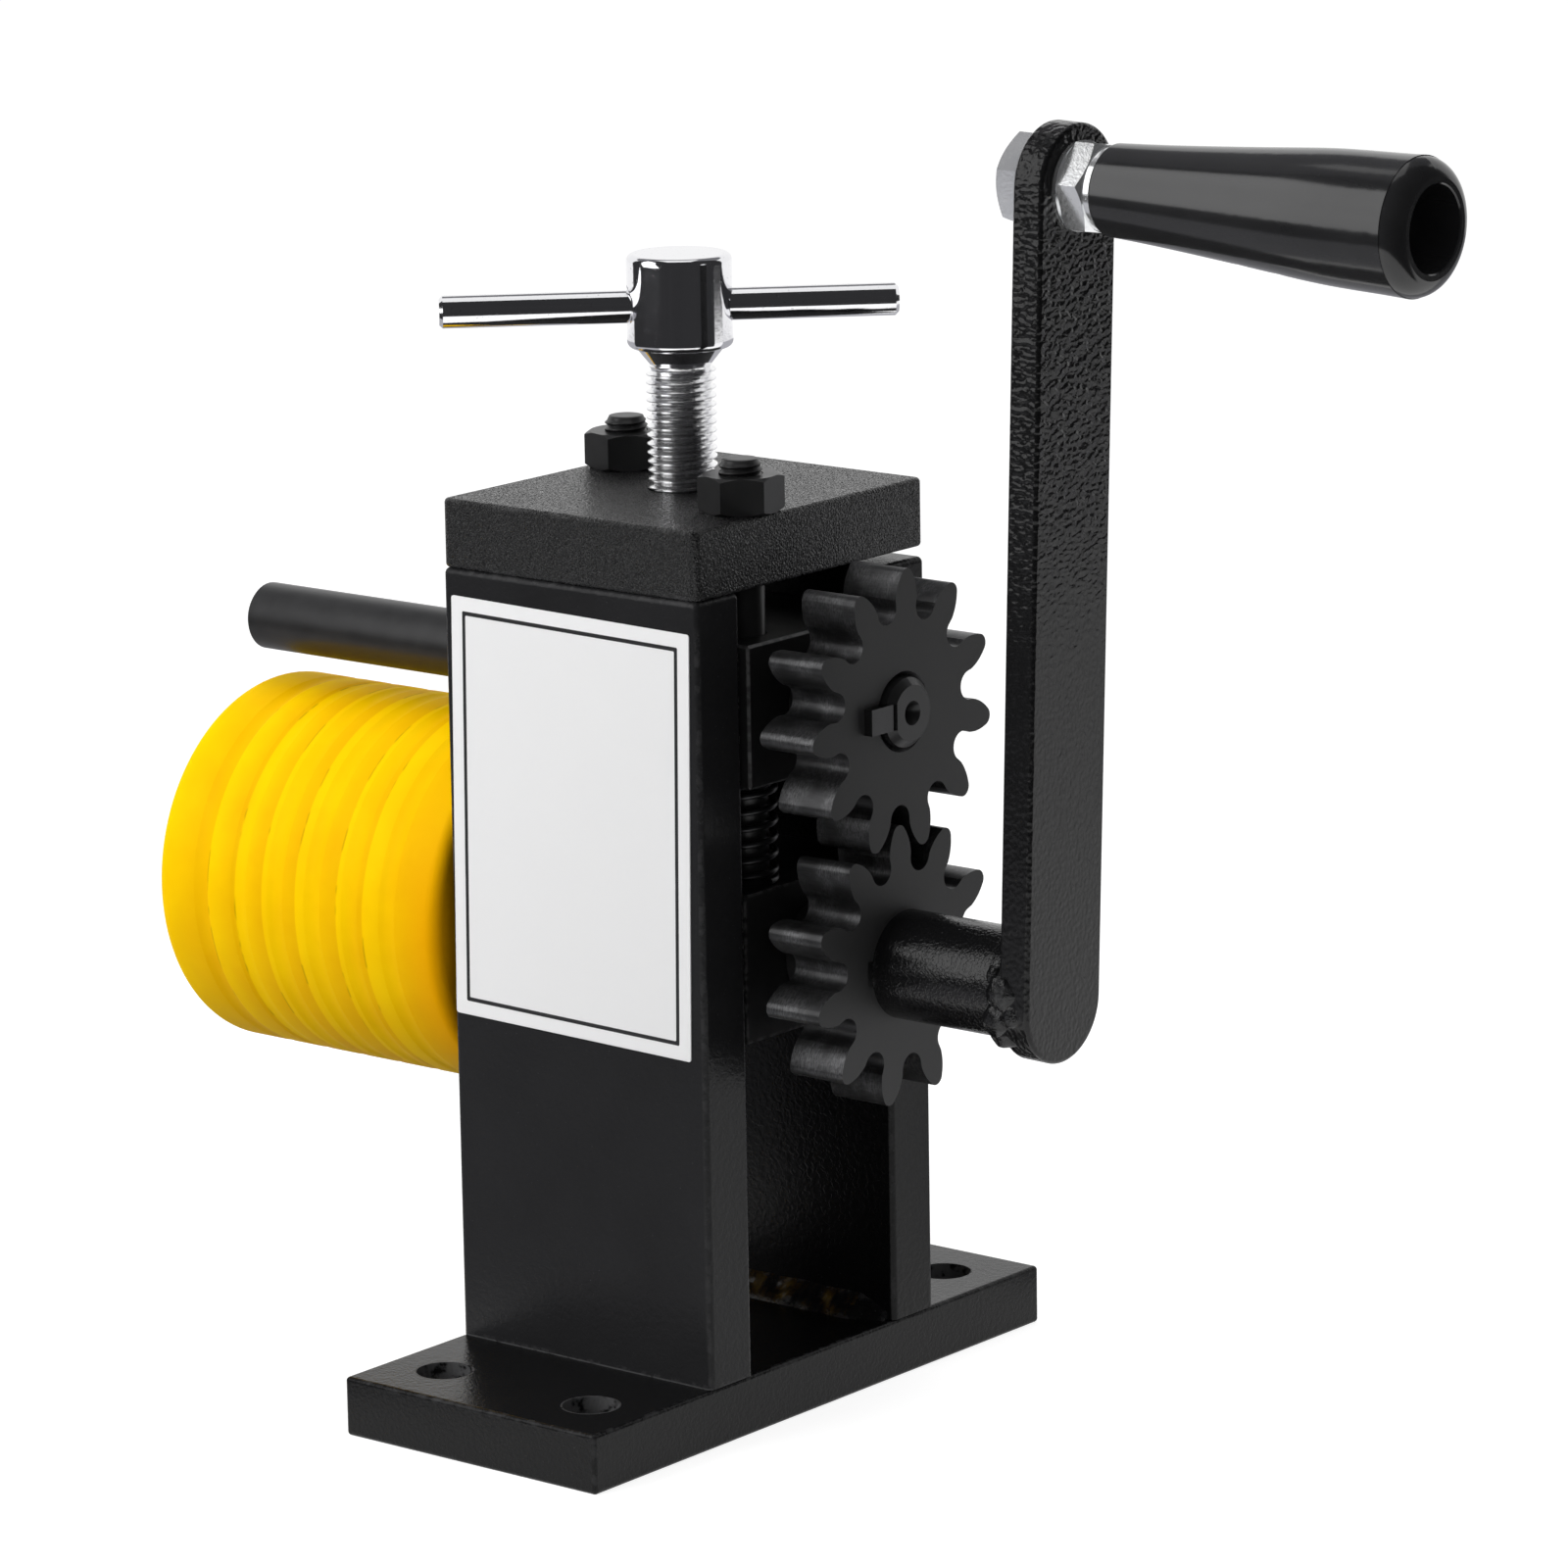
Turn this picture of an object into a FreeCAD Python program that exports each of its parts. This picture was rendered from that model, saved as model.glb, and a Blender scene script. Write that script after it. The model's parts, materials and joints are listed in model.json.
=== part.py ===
"""Hand-cranked bench roller press for curving bangles and cuffs.

X runs along the two rollers, with the gears and the crank at +X.
Y runs from the front upright to the back one, and Z is up.
The origin is the centre of the base plate's underside. Lengths are millimetres, angles degrees.
"""
import FreeCAD, Part
import math
import os

# ---- Driving dimensions ------------------------------------------------------------------

# Frame: base plate, two uprights and a top plate, all of one width
FRAME_WIDTH = 75.0
BASE_LENGTH = 164.0
BASE_THICKNESS = 14.0
UPRIGHT_THICKNESS = 15.0
UPRIGHT_HEIGHT = 182.0
THROAT = 52.0                    # clear gap between the uprights
TOP_THICKNESS = 16.0
PLATE_EDGE_ROUND = 1.0
TOP_CORNER_ROUND = 2.0
UPRIGHT_EDGE_ROUND = 1.4
BACK_UPRIGHT_GAP = 2.4           # the top plate stands on the front upright, clear of the back one
BENCH_HOLE_DIAMETER = 13.0
BENCH_HOLE_FROM_SIDE = 15.5      # a hole's axis to the base's long edge
BENCH_HOLE_FROM_END = 17.0
FOOT_WELD_LEG = 5.0
BLOCK_WELD_LEG = 4.0
WELD_END_MARGIN = 2.0
WELD_HOLLOW = 0.42               # middle of a weld's face, as a share of its leg

# Bearing blocks
LOWER_SHAFT_HEIGHT = 109.2       # lower shaft's axis above the underside of the base
SHAFT_CENTRES = 58.2             # upper axis above the lower one, as the screw now stands
LOWER_BLOCK_HEIGHT = 34.5
UPPER_BLOCK_HEIGHT = 33.0
UPPER_BLOCK_PROUD = 2.0          # beyond the frame's faces, at each end
BLOCK_CHAMFER = 0.6
SLIDE_CLEARANCE = 0.2            # upper block to each upright
PAD_RECESS_DEPTH = 5.0
PAD_DIAMETER = 14.0
PAD_THICKNESS = 3.0

# Tie rods, their nuts and the springs that lift the upper block
TIE_DIAMETER = 10.0
TIE_FROM_FACE = 8.5              # a rod's axis to the nearer face of the frame
TIE_FROM_WALL = 11.5             # and to the nearer upright
TIE_PROUD = 3.5                  # above its nut
TIE_DEPTH = 12.0                 # into the lower block
TIE_HOLE_CLEARANCE = 0.3
TIE_END_CHAMFER = 0.6
TIE_NUT_ACROSS_FLATS = 17.0
TIE_NUT_HEIGHT = 8.4
TIE_NUT_TURNS = {"front": -19.0, "back": -16.0}
SPRING_WIRE = 1.6
SPRING_MEAN_DIAMETER = 12.8
SPRING_TURNS = 7                 # with one closed turn at each end
SPRING_CLOSED_PITCH = 2.0
SPRING_STEPS = 8                 # points of its path for each turn

# Pressure screw and its tommy bar
SCREW_DIAMETER = 16.0
SCREW_CLEARANCE = 0.1
SCREW_TIP_DIAMETER = 11.0
SCREW_TIP_ABOVE_BLOCK = 4.0      # shoulder of the tip above the upper block
SCREW_VISIBLE = 28.6             # thread that stands above the top plate
THREAD_RUN_OUT = 1.0
NECK_RADIUS = 7.0
HEAD_CONE_HEIGHT = 3.9
HEAD_DIAMETER = 24.2
HEAD_HEIGHT = 21.5
HEAD_EDGE_ROUND = 1.5
BAR_DIAMETER = 7.5
BAR_LENGTH = 104.5
BAR_OFFSET = 2.4                 # the bar's middle, to the front of the head's axis
BAR_BELOW_HEAD_TOP = 12.0
BAR_ANGLE = 44.0                 # from +X towards +Y, as it stands at rest
BAR_END_CHAMFER = 0.8

# Shafts and their gears
SHAFT_DIAMETER = 16.0
JOURNAL_CLEARANCE = 0.05
THRUST_GAP = 0.2
FIT = 0.02                       # radial gap of parts that are pushed together
MODULE = 5.0
TEETH = 11
PRESSURE_ANGLE = 20.0
TOOTH_THINNING = 0.5
TIP_ROUND_DEPTH = 1.2
GEAR_WIDTH = 15.0
GEAR_STAND_OFF = 10.5            # from the frame's face to the gears
MESH_LEAN = 3.7                  # how far the meshing tooth leans to the front
BORE_CHAMFER = 1.2
SPACER_DIAMETER = 24.0
KEY_WIDTH = 6.0
KEY_INNER = 6.3
KEY_OUTER = 14.0
KEYWAY_FLOOR_GAP = 0.8
KEY_PROUD = 2.2                  # past the gear's face
SHAFT_PROUD = 2.7                # past the upper gear's face
SHAFT_END_CHAMFER = 1.6
CENTRE_HOLE_MOUTH = 5.6
CENTRE_HOLE_DRILL = 2.5
CENTRE_HOLE_DEPTH = 5.0

# Rod roller (the upper shaft's free end) and the open ring that keeps the shaft in its block
ROD_REACH = 93.5                 # from the frame's face
ROD_CHAMFER = 0.8
RETAINER_DIAMETER = 20.8
RETAINER_THICKNESS = 1.2
RETAINER_OPENING = 6.0
GROOVE_DIAMETER = 15.2

# Large roller: urethane tyre on a steel core
ROLLER_DIAMETER = 88.6
ROLLER_LENGTH = 88.0
ROLLER_STAND_OFF = 3.0
ROLLER_EDGE_ROUND = 3.0
CORE_DIAMETER = 40.0
CORE_RECESS = 9.0                # core's end below the tyre's
BAND_COUNT = 6
BAND_WIDTH = 5.0
BAND_DEPTH = 0.35
THRUST_WASHER_DIAMETER = 28.0
END_WASHER_DIAMETER = 30.0
END_WASHER_THICKNESS = 3.0
END_SCREW_DIAMETER = 8.0
END_SCREW_LENGTH = 20.0
END_SCREW_ACROSS_FLATS = 13.0
END_SCREW_HEAD = 5.3
ROLLER_KEY_WIDTH = 5.0
ROLLER_KEY_HEIGHT = 5.0
ROLLER_KEY_LENGTH = 40.0

# Crank
CRANK_RADIUS = 180.5
CRANK_LEAN = 0.75                # from upright towards the back, as it stands at rest
ARM_DISH = 1.3                   # from square to the shaft, outwards, which dips the handle
HUB_DIAMETER = 25.0
HUB_LENGTH = 36.5
HUB_END_GAP = 1.5                # shaft's end to the arm
HUB_GRUB_DIAMETER = 6.0
HUB_GRUB_SUNK = 1.0
HUB_WELD_LEG = 4.0
ARM_WIDTH = 27.3
ARM_THICKNESS = 8.0
ARM_FOOT_DROP = 2.6              # centre of the arm's lower round below the shaft's axis
ARM_EDGE_ROUND = 1.0

# Revolving handle: a bolt through the arm, its lock nut, and a grip that turns on its shank
HANDLE_BOLT_DIAMETER = 12.0
HANDLE_ACROSS_FLATS = 19.0
HANDLE_BOLT_HEAD = 7.5
HEAD_TURN = 42.0                 # corner of the bolt's head, from +Y towards +Z
LOCK_NUT_HEIGHT = 6.5
LOCK_NUT_TURN = 51.0
LOCK_WASHER_DIAMETER = 20.0
LOCK_WASHER_THICKNESS = 1.0
GRIP_WASHER_DIAMETER = 18.5
GRIP_WASHER_THICKNESS = 1.6
GRIP_CLEARANCE = 0.1
GRIP_END_GAP = 0.3
GRIP_LENGTH = 83.2
GRIP_START_RADIUS = 10.2
GRIP_EDGE_ROUND = 0.8
GRIP_BODY = ((12.0, 10.85), (28.0, 12.05), (44.0, 13.4), (58.0, 14.5), (72.0, 14.95))
GRIP_SEAM = 79.0                 # both as stations from the slim end, the body's with radii
GRIP_SEAM_RADIUS = 15.2
GRIP_SEAM_HEIGHT = 0.15
GRIP_RIM_SHOULDER = (1.2, 1.7)   # middle of the rim's round, in from the end and from the seam
GRIP_RIM_RADIUS = 11.0
GRIP_RECESS_RADIUS = 9.5
GRIP_RECESS_DEPTH = 30.0
GRIP_RECESS_CHAMFER = 0.3
BOLT_END_DIAMETER = 8.0
BOLT_END_PROUD = 2.0
BOLT_END_CHAMFER = 1.0
END_NUT_ACROSS_FLATS = 13.0
END_NUT_HEIGHT = 6.5
NUT_WASHER_DIAMETER = 16.0
NUT_WASHER_THICKNESS = 1.6

# ---- Places that follow from the dimensions ----------------------------------------------

FACE = FRAME_WIDTH / 2                               # +X face of the frame
BASE_TOP = BASE_THICKNESS
TOP_UNDER = BASE_TOP + UPRIGHT_HEIGHT
TOP_FACE = TOP_UNDER + TOP_THICKNESS
INNER_WALL = THROAT / 2
OUTER_WALL = INNER_WALL + UPRIGHT_THICKNESS

LOWER_AXIS = LOWER_SHAFT_HEIGHT
UPPER_AXIS = LOWER_AXIS + SHAFT_CENTRES
LOWER_BLOCK_TOP = LOWER_AXIS + LOWER_BLOCK_HEIGHT / 2
LOWER_BLOCK_UNDER = LOWER_AXIS - LOWER_BLOCK_HEIGHT / 2
UPPER_BLOCK_TOP = UPPER_AXIS + UPPER_BLOCK_HEIGHT / 2
UPPER_BLOCK_UNDER = UPPER_AXIS - UPPER_BLOCK_HEIGHT / 2
UPPER_BLOCK_FACE = FACE + UPPER_BLOCK_PROUD

SHAFT_RADIUS = SHAFT_DIAMETER / 2
GEAR_BACK = FACE + GEAR_STAND_OFF
GEAR_FRONT = GEAR_BACK + GEAR_WIDTH
ARM_BACK = GEAR_FRONT + HUB_LENGTH
ARM_FRONT = ARM_BACK + ARM_THICKNESS
ROLLER_INNER = -FACE - ROLLER_STAND_OFF
ROLLER_OUTER = ROLLER_INNER - ROLLER_LENGTH
RETAINER_INNER = -UPPER_BLOCK_FACE - THRUST_GAP
RETAINER_OUTER = RETAINER_INNER - RETAINER_THICKNESS
CORE_OUTER = ROLLER_OUTER + CORE_RECESS
HANDLE_Y = CRANK_RADIUS * math.sin(math.radians(CRANK_LEAN))
HANDLE_Z = LOWER_AXIS + CRANK_RADIUS * math.cos(math.radians(CRANK_LEAN))
LOCK_NUT_BACK = ARM_FRONT + LOCK_WASHER_THICKNESS
LOCK_NUT_FRONT = LOCK_NUT_BACK + LOCK_NUT_HEIGHT
GRIP_START = LOCK_NUT_FRONT + GRIP_WASHER_THICKNESS + GRIP_END_GAP
GRIP_END = GRIP_START + GRIP_LENGTH
RECESS_FLOOR = GRIP_END - GRIP_RECESS_DEPTH
SHANK_END = RECESS_FLOOR + GRIP_END_GAP
END_NUT_BACK = SHANK_END + NUT_WASHER_THICKNESS

TIE_X = FACE - TIE_FROM_FACE
TIE_Y = INNER_WALL - TIE_FROM_WALL
TIE_PLACES = {"front": (TIE_X, -TIE_Y), "back": (-TIE_X, TIE_Y)}
AXIS_X = FreeCAD.Vector(1, 0, 0)
AXIS_Y = FreeCAD.Vector(0, 1, 0)
AXIS_Z = FreeCAD.Vector(0, 0, 1)


# ---- Shape helpers -----------------------------------------------------------------------

def span(width):
    """Low and high ends of a width centred on zero."""
    return -width / 2, width / 2


def block(x_span, y_span, z_span):
    """Box between three pairs of limits."""
    corner = FreeCAD.Vector(x_span[0], y_span[0], z_span[0])
    return Part.makeBox(x_span[1] - x_span[0], y_span[1] - y_span[0], z_span[1] - z_span[0], corner)


def rod_x(radius, x_span, y=0.0, z=0.0):
    """Plain cylinder along X."""
    return Part.makeCylinder(radius, x_span[1] - x_span[0], FreeCAD.Vector(x_span[0], y, z), AXIS_X)


def rod_z(radius, z_span, x=0.0, y=0.0):
    """Plain cylinder along Z."""
    return Part.makeCylinder(radius, z_span[1] - z_span[0], FreeCAD.Vector(x, y, z_span[0]), AXIS_Z)


def turned(axis, centre, outline):
    """Solid of revolution about the line through centre along axis.

    The outline is closed. A pair is a corner (station along the axis, radius), and four numbers
    are an arc: its middle (station, radius), then its end (station, radius). More numbers are the
    points of a smooth curve, in the same way.
    """
    def place(station, radius):
        if axis is AXIS_X:
            return FreeCAD.Vector(station, centre[1], centre[2] + radius)
        return FreeCAD.Vector(centre[0] + radius, centre[1], station)

    edges = []
    here = place(*outline[-1][-2:])
    for step in outline:
        end = place(*step[-2:])
        if len(step) > 4:
            curve = Part.BSplineCurve()
            curve.interpolate([here] + [place(*pair) for pair in zip(step[::2], step[1::2])])
            edges.append(curve.toShape())
        elif len(step) == 4:
            edges.append(Part.Arc(here, place(*step[:2]), end).toShape())
        elif here.distanceToPoint(end) > 1e-6:
            edges.append(Part.makeLine(here, end))
        here = end
    return Part.Face(Part.Wire(edges)).revolve(FreeCAD.Vector(*centre), axis, 360)


def edges_along(shape, direction):
    """Straight edges of a shape that run along a direction."""
    def runs_along(edge):
        return edge.Curve.TypeId == "Part::GeomLine" and abs(edge.Curve.Direction.dot(direction)) > 0.999

    return [edge for edge in shape.Edges if runs_along(edge)]


def hexagon_nut(across_flats, span_along, axis, centre, bore_radius, turn=0.0):
    """Hexagonal nut with both faces turned to a 30 degree chamfer."""
    corner_radius = across_flats / math.sqrt(3)
    low, high = span_along
    drop = (corner_radius - across_flats / 2) * math.tan(math.radians(30))
    points = []
    for step in range(7):
        angle = math.radians(turn + 60 * step)
        first = corner_radius * math.cos(angle)
        second = corner_radius * math.sin(angle)
        if axis is AXIS_X:
            points.append(FreeCAD.Vector(low, centre[1] + first, centre[2] + second))
        else:
            points.append(FreeCAD.Vector(centre[0] + first, centre[1] + second, low))
    prism = Part.Face(Part.makePolygon(points)).extrude(axis * (high - low))
    flat = across_flats / 2
    barrel = turned(axis, centre, [(low, bore_radius), (low, flat), (low + drop, corner_radius),
                                   (high - drop, corner_radius), (high, flat), (high, bore_radius)])
    return prism.common(barrel)


def about_x(shape, angle, y=0.0, z=0.0):
    """Copy of a shape turned about the line along X through (y, z)."""
    return shape.copy().rotate(FreeCAD.Vector(0, y, z), AXIS_X, angle)


def save(node, shape):
    """Write one piece as its own STEP file."""
    shape.exportStep(f"parts/{node}.step")


# ---- Frame -------------------------------------------------------------------------------

def base_plate():
    """Flat plate with four bolt holes, its edges rounded."""
    plate = block(span(FRAME_WIDTH), span(BASE_LENGTH), (0, BASE_THICKNESS))
    plate = plate.makeFillet(PLATE_EDGE_ROUND, plate.Edges)
    for x in span(FRAME_WIDTH - 2 * BENCH_HOLE_FROM_SIDE):
        for y in span(BASE_LENGTH - 2 * BENCH_HOLE_FROM_END):
            plate = plate.cut(rod_z(BENCH_HOLE_DIAMETER / 2, (0, BASE_THICKNESS), x, y))
    return plate


def upright(side):
    """Side plate of the frame, front (-1) or back (+1)."""
    walls = sorted((side * INNER_WALL, side * OUTER_WALL))
    top = TOP_UNDER if side < 0 else TOP_UNDER - BACK_UPRIGHT_GAP
    plate = block(span(FRAME_WIDTH), walls, (BASE_TOP, top))
    rounded = [edge for edge in plate.Edges if edge.BoundBox.ZMax > BASE_TOP]
    return plate.makeFillet(UPRIGHT_EDGE_ROUND, rounded)


def top_plate():
    """Cap with the tapped hole for the pressure screw and the two tie rod holes."""
    plate = block(span(FRAME_WIDTH), span(2 * OUTER_WALL), (TOP_UNDER, TOP_FACE))
    plate = plate.makeFillet(TOP_CORNER_ROUND, edges_along(plate, AXIS_Z))
    rims = [edge for edge in plate.Edges if edge.BoundBox.ZLength < PLATE_EDGE_ROUND]
    plate = plate.makeFillet(PLATE_EDGE_ROUND, rims)
    plate = plate.cut(rod_z(SCREW_DIAMETER / 2 + SCREW_CLEARANCE, (TOP_UNDER, TOP_FACE)))
    for x, y in TIE_PLACES.values():
        plate = plate.cut(rod_z(TIE_DIAMETER / 2 + TIE_HOLE_CLEARANCE, (TOP_UNDER, TOP_FACE), x, y))
    return plate


def corner_weld(side, leg, level, upwards):
    """Fillet weld that runs along an upright's inner face, above or below a level."""
    inner = side * INNER_WALL
    toe_y = inner - side * leg
    toe_z = level + leg * upwards
    low, high = span(FRAME_WIDTH - 2 * WELD_END_MARGIN)
    hollow = leg * WELD_HOLLOW
    middle = FreeCAD.Vector(low, inner - side * hollow, level + hollow * upwards)
    root = FreeCAD.Vector(low, inner, level)
    across = FreeCAD.Vector(low, toe_y, level)
    along = FreeCAD.Vector(low, inner, toe_z)
    edges = [Part.makeLine(root, across), Part.Arc(across, middle, along).toShape(),
             Part.makeLine(along, root)]
    return Part.Face(Part.Wire(edges)).extrude(FreeCAD.Vector(high - low, 0, 0))


def lower_block():
    """Fixed bearing block: bored for the lower shaft and tapped for the tie rods."""
    body = block(span(FRAME_WIDTH), span(THROAT), (LOWER_BLOCK_UNDER, LOWER_BLOCK_TOP))
    body = body.cut(rod_x(SHAFT_RADIUS + JOURNAL_CLEARANCE, span(FRAME_WIDTH), 0, LOWER_AXIS))
    for x, y in TIE_PLACES.values():
        body = body.cut(rod_z(TIE_DIAMETER / 2 + FIT, (LOWER_BLOCK_TOP - TIE_DEPTH, LOWER_BLOCK_TOP), x, y))
    return body


def tie_rod(place):
    """Long stud from the lower block through the upper block and the top plate."""
    x, y = place
    radius = TIE_DIAMETER / 2
    low = LOWER_BLOCK_TOP - TIE_DEPTH
    high = TOP_FACE + TIE_NUT_HEIGHT + TIE_PROUD
    neck = radius - TIE_END_CHAMFER
    return turned(AXIS_Z, (x, y, 0), [(low, 0), (low, neck), (low + TIE_END_CHAMFER, radius),
                                      (high - TIE_END_CHAMFER, radius), (high, neck), (high, 0)])


def tie_nut(place, turn):
    """Nut that clamps the top plate onto the uprights."""
    x, y = place
    levels = (TOP_FACE, TOP_FACE + TIE_NUT_HEIGHT)
    return hexagon_nut(TIE_NUT_ACROSS_FLATS, levels, AXIS_Z, (x, y, 0), TIE_DIAMETER / 2 + FIT, turn)


def lift_spring(place):
    """Coil spring round a tie rod, between the two bearing blocks, with its end turns closed."""
    x, y = place
    radius = SPRING_MEAN_DIAMETER / 2
    half_wire = SPRING_WIRE / 2
    stretch = UPPER_BLOCK_UNDER - LOWER_BLOCK_TOP - SPRING_WIRE - SPRING_TURNS * SPRING_CLOSED_PITCH
    points = []
    for step in range(SPRING_TURNS * SPRING_STEPS + 1):
        turn = step / SPRING_STEPS
        opened = min(max((turn - 1) / (SPRING_TURNS - 2), 0), 1)
        angle = 2 * math.pi * turn
        points.append(FreeCAD.Vector(radius * math.cos(angle), radius * math.sin(angle),
                                     SPRING_CLOSED_PITCH * turn + stretch * opened))
    path = Part.BSplineCurve()
    path.interpolate(points)
    section = Part.Wire(Part.makeCircle(half_wire, points[0], AXIS_Y))
    coil = Part.Wire(path.toShape()).makePipeShell([section], True, True)
    coil.translate(FreeCAD.Vector(x, y, LOWER_BLOCK_TOP + half_wire))
    return coil


def make_frame():
    """Everything that is fixed to the base, and the springs that stand on the lower block."""
    save("base_plate", base_plate())
    save("top_plate", top_plate())
    save("lower_block", lower_block())
    for name, side in (("front", -1), ("back", 1)):
        save(f"{name}_upright", upright(side))
        save(f"{name}_foot_weld", corner_weld(side, FOOT_WELD_LEG, BASE_TOP, 1))
        save(f"{name}_block_weld", corner_weld(side, BLOCK_WELD_LEG, LOWER_BLOCK_UNDER, -1))
    for name, place in TIE_PLACES.items():
        save(f"{name}_tie_rod", tie_rod(place))
        save(f"{name}_tie_nut", tie_nut(place, TIE_NUT_TURNS[name]))
        save(f"{name}_spring", lift_spring(place))


# ---- Sliding block and pressure screw ----------------------------------------------------

def upper_block():
    """Bearing block that slides between the uprights on the two tie rods."""
    depth = THROAT - 2 * SLIDE_CLEARANCE
    body = block(span(2 * UPPER_BLOCK_FACE), span(depth), (UPPER_BLOCK_UNDER, UPPER_BLOCK_TOP))
    body = body.makeChamfer(BLOCK_CHAMFER, body.Edges)
    body = body.cut(rod_x(SHAFT_RADIUS + JOURNAL_CLEARANCE, span(2 * UPPER_BLOCK_FACE), 0, UPPER_AXIS))
    for x, y in TIE_PLACES.values():
        levels = (UPPER_BLOCK_UNDER, UPPER_BLOCK_TOP)
        body = body.cut(rod_z(TIE_DIAMETER / 2 + TIE_HOLE_CLEARANCE, levels, x, y))
    recess = (UPPER_BLOCK_TOP - PAD_RECESS_DEPTH, UPPER_BLOCK_TOP)
    return body.cut(rod_z(PAD_DIAMETER / 2 + FIT, recess))


def thrust_pad():
    """Hardened disc in the upper block's recess, on which the screw turns."""
    floor = UPPER_BLOCK_TOP - PAD_RECESS_DEPTH
    return rod_z(PAD_DIAMETER / 2, (floor, floor + PAD_THICKNESS))


def bar_along(radius, length):
    """Cylinder through the screw's head along the tommy bar's line, both ends chamfered."""
    level = TOP_FACE + SCREW_VISIBLE + HEAD_CONE_HEIGHT + HEAD_HEIGHT - BAR_BELOW_HEAD_TOP
    low, high = span(length)
    slim = radius - BAR_END_CHAMFER
    low, high = low - BAR_OFFSET, high - BAR_OFFSET
    bar = turned(AXIS_X, (0, 0, level), [(low, 0), (low, slim), (low + BAR_END_CHAMFER, radius),
                                         (high - BAR_END_CHAMFER, radius), (high, slim), (high, 0)])
    return bar.rotate(FreeCAD.Vector(0, 0, 0), AXIS_Z, BAR_ANGLE)


def pressure_screw():
    """Screw with a round head, a coned neck and a plain tip that bears on the thrust pad."""
    tip = UPPER_BLOCK_TOP - PAD_RECESS_DEPTH + PAD_THICKNESS
    shoulder = UPPER_BLOCK_TOP + SCREW_TIP_ABOVE_BLOCK
    neck = TOP_FACE + SCREW_VISIBLE
    head = neck + HEAD_CONE_HEIGHT
    crown = head + HEAD_HEIGHT
    radius = SCREW_DIAMETER / 2
    head_radius = HEAD_DIAMETER / 2
    face = head_radius - HEAD_EDGE_ROUND
    turn_in = HEAD_EDGE_ROUND * (1 - math.sqrt(0.5))
    screw = turned(AXIS_Z, (0, 0, 0), [
        (tip, 0), (tip, SCREW_TIP_DIAMETER / 2), (shoulder, SCREW_TIP_DIAMETER / 2), (shoulder, radius),
        (neck - THREAD_RUN_OUT, radius), (neck, NECK_RADIUS), (head, face),
        (head + turn_in, head_radius - turn_in, head + HEAD_EDGE_ROUND, head_radius),
        (crown - HEAD_EDGE_ROUND, head_radius), (crown - turn_in, head_radius - turn_in, crown, face),
        (crown, 0)])
    return screw.cut(bar_along(BAR_DIAMETER / 2 + FIT, BAR_LENGTH))


def make_slide():
    """The block that carries the upper shaft, and the screw that presses it down."""
    save("upper_block", upper_block())
    save("thrust_pad", thrust_pad())
    save("pressure_screw", pressure_screw())
    save("tommy_bar", bar_along(BAR_DIAMETER / 2, BAR_LENGTH))


# ---- Gears, keys and shafts --------------------------------------------------------------

def involute(angle):
    """Involute function of a pressure angle in radians."""
    return math.tan(angle) - angle


def gear_outline(phase):
    """Closed wire of an involute gear about the origin, one tooth's centre at phase from +Y."""
    pitch_radius = MODULE * TEETH / 2
    tip_radius = pitch_radius + MODULE
    root_radius = pitch_radius - 1.25 * MODULE
    pressure = math.radians(PRESSURE_ANGLE)
    base_radius = pitch_radius * math.cos(pressure)
    base_half = (math.pi * MODULE / 2 - TOOTH_THINNING) / (2 * pitch_radius) + involute(pressure)
    foot_radius = root_radius / (1 - math.sin(math.pi / TEETH - base_half))
    flank_top = tip_radius - TIP_ROUND_DEPTH

    def half_angle(radius):
        return base_half - involute(math.acos(min(1, base_radius / radius)))

    def at(radius, angle):
        return FreeCAD.Vector(0, radius * math.cos(angle), radius * math.sin(angle))

    def flank(centre, side):
        radii = (base_radius, (base_radius + flank_top) / 2, flank_top)
        return [at(radius, centre + side * half_angle(radius)) for radius in radii]

    pitch = 2 * math.pi / TEETH
    edges = []
    for tooth in range(TEETH):
        centre = math.radians(phase) + tooth * pitch
        foot_in = at(foot_radius, centre - base_half)
        foot_out = at(foot_radius, centre + base_half)
        rise = flank(centre, -1)
        fall = flank(centre, 1)
        edges.append(Part.makeLine(foot_in, rise[0]))
        edges.append(Part.Arc(*rise).toShape())
        edges.append(Part.Arc(rise[2], at(tip_radius, centre), fall[2]).toShape())
        edges.append(Part.Arc(*reversed(fall)).toShape())
        edges.append(Part.makeLine(fall[0], foot_out))
        gullet = at(root_radius, centre + pitch / 2)
        edges.append(Part.Arc(foot_out, gullet, at(foot_radius, centre + pitch - base_half)).toShape())
    return Part.Wire(edges)


def keyway(x_span, inner, outer, width, axis_z, turn=0.0):
    """Straight slot or key that points to the front of a shaft, turned about its axis."""
    bar = block(x_span, (-outer, -inner), span(width))
    bar.translate(FreeCAD.Vector(0, 0, axis_z))
    return about_x(bar, turn, 0, axis_z)


def gear(axis_z, phase, key_turn):
    """Spur gear on a shaft's axis, bored, chamfered and keyed."""
    blank = Part.Face(gear_outline(phase)).extrude(FreeCAD.Vector(GEAR_WIDTH, 0, 0))
    blank.translate(FreeCAD.Vector(GEAR_BACK, 0, axis_z))
    bore = SHAFT_RADIUS + FIT
    hole = turned(AXIS_X, (0, 0, axis_z), [
        (GEAR_BACK, 0), (GEAR_BACK, bore + BORE_CHAMFER), (GEAR_BACK + BORE_CHAMFER, bore),
        (GEAR_FRONT - BORE_CHAMFER, bore), (GEAR_FRONT, bore + BORE_CHAMFER), (GEAR_FRONT, 0)])
    slot = keyway((GEAR_BACK, GEAR_FRONT), 0, KEY_OUTER, KEY_WIDTH, axis_z, key_turn)
    return blank.cut(hole).cut(slot)


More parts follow.
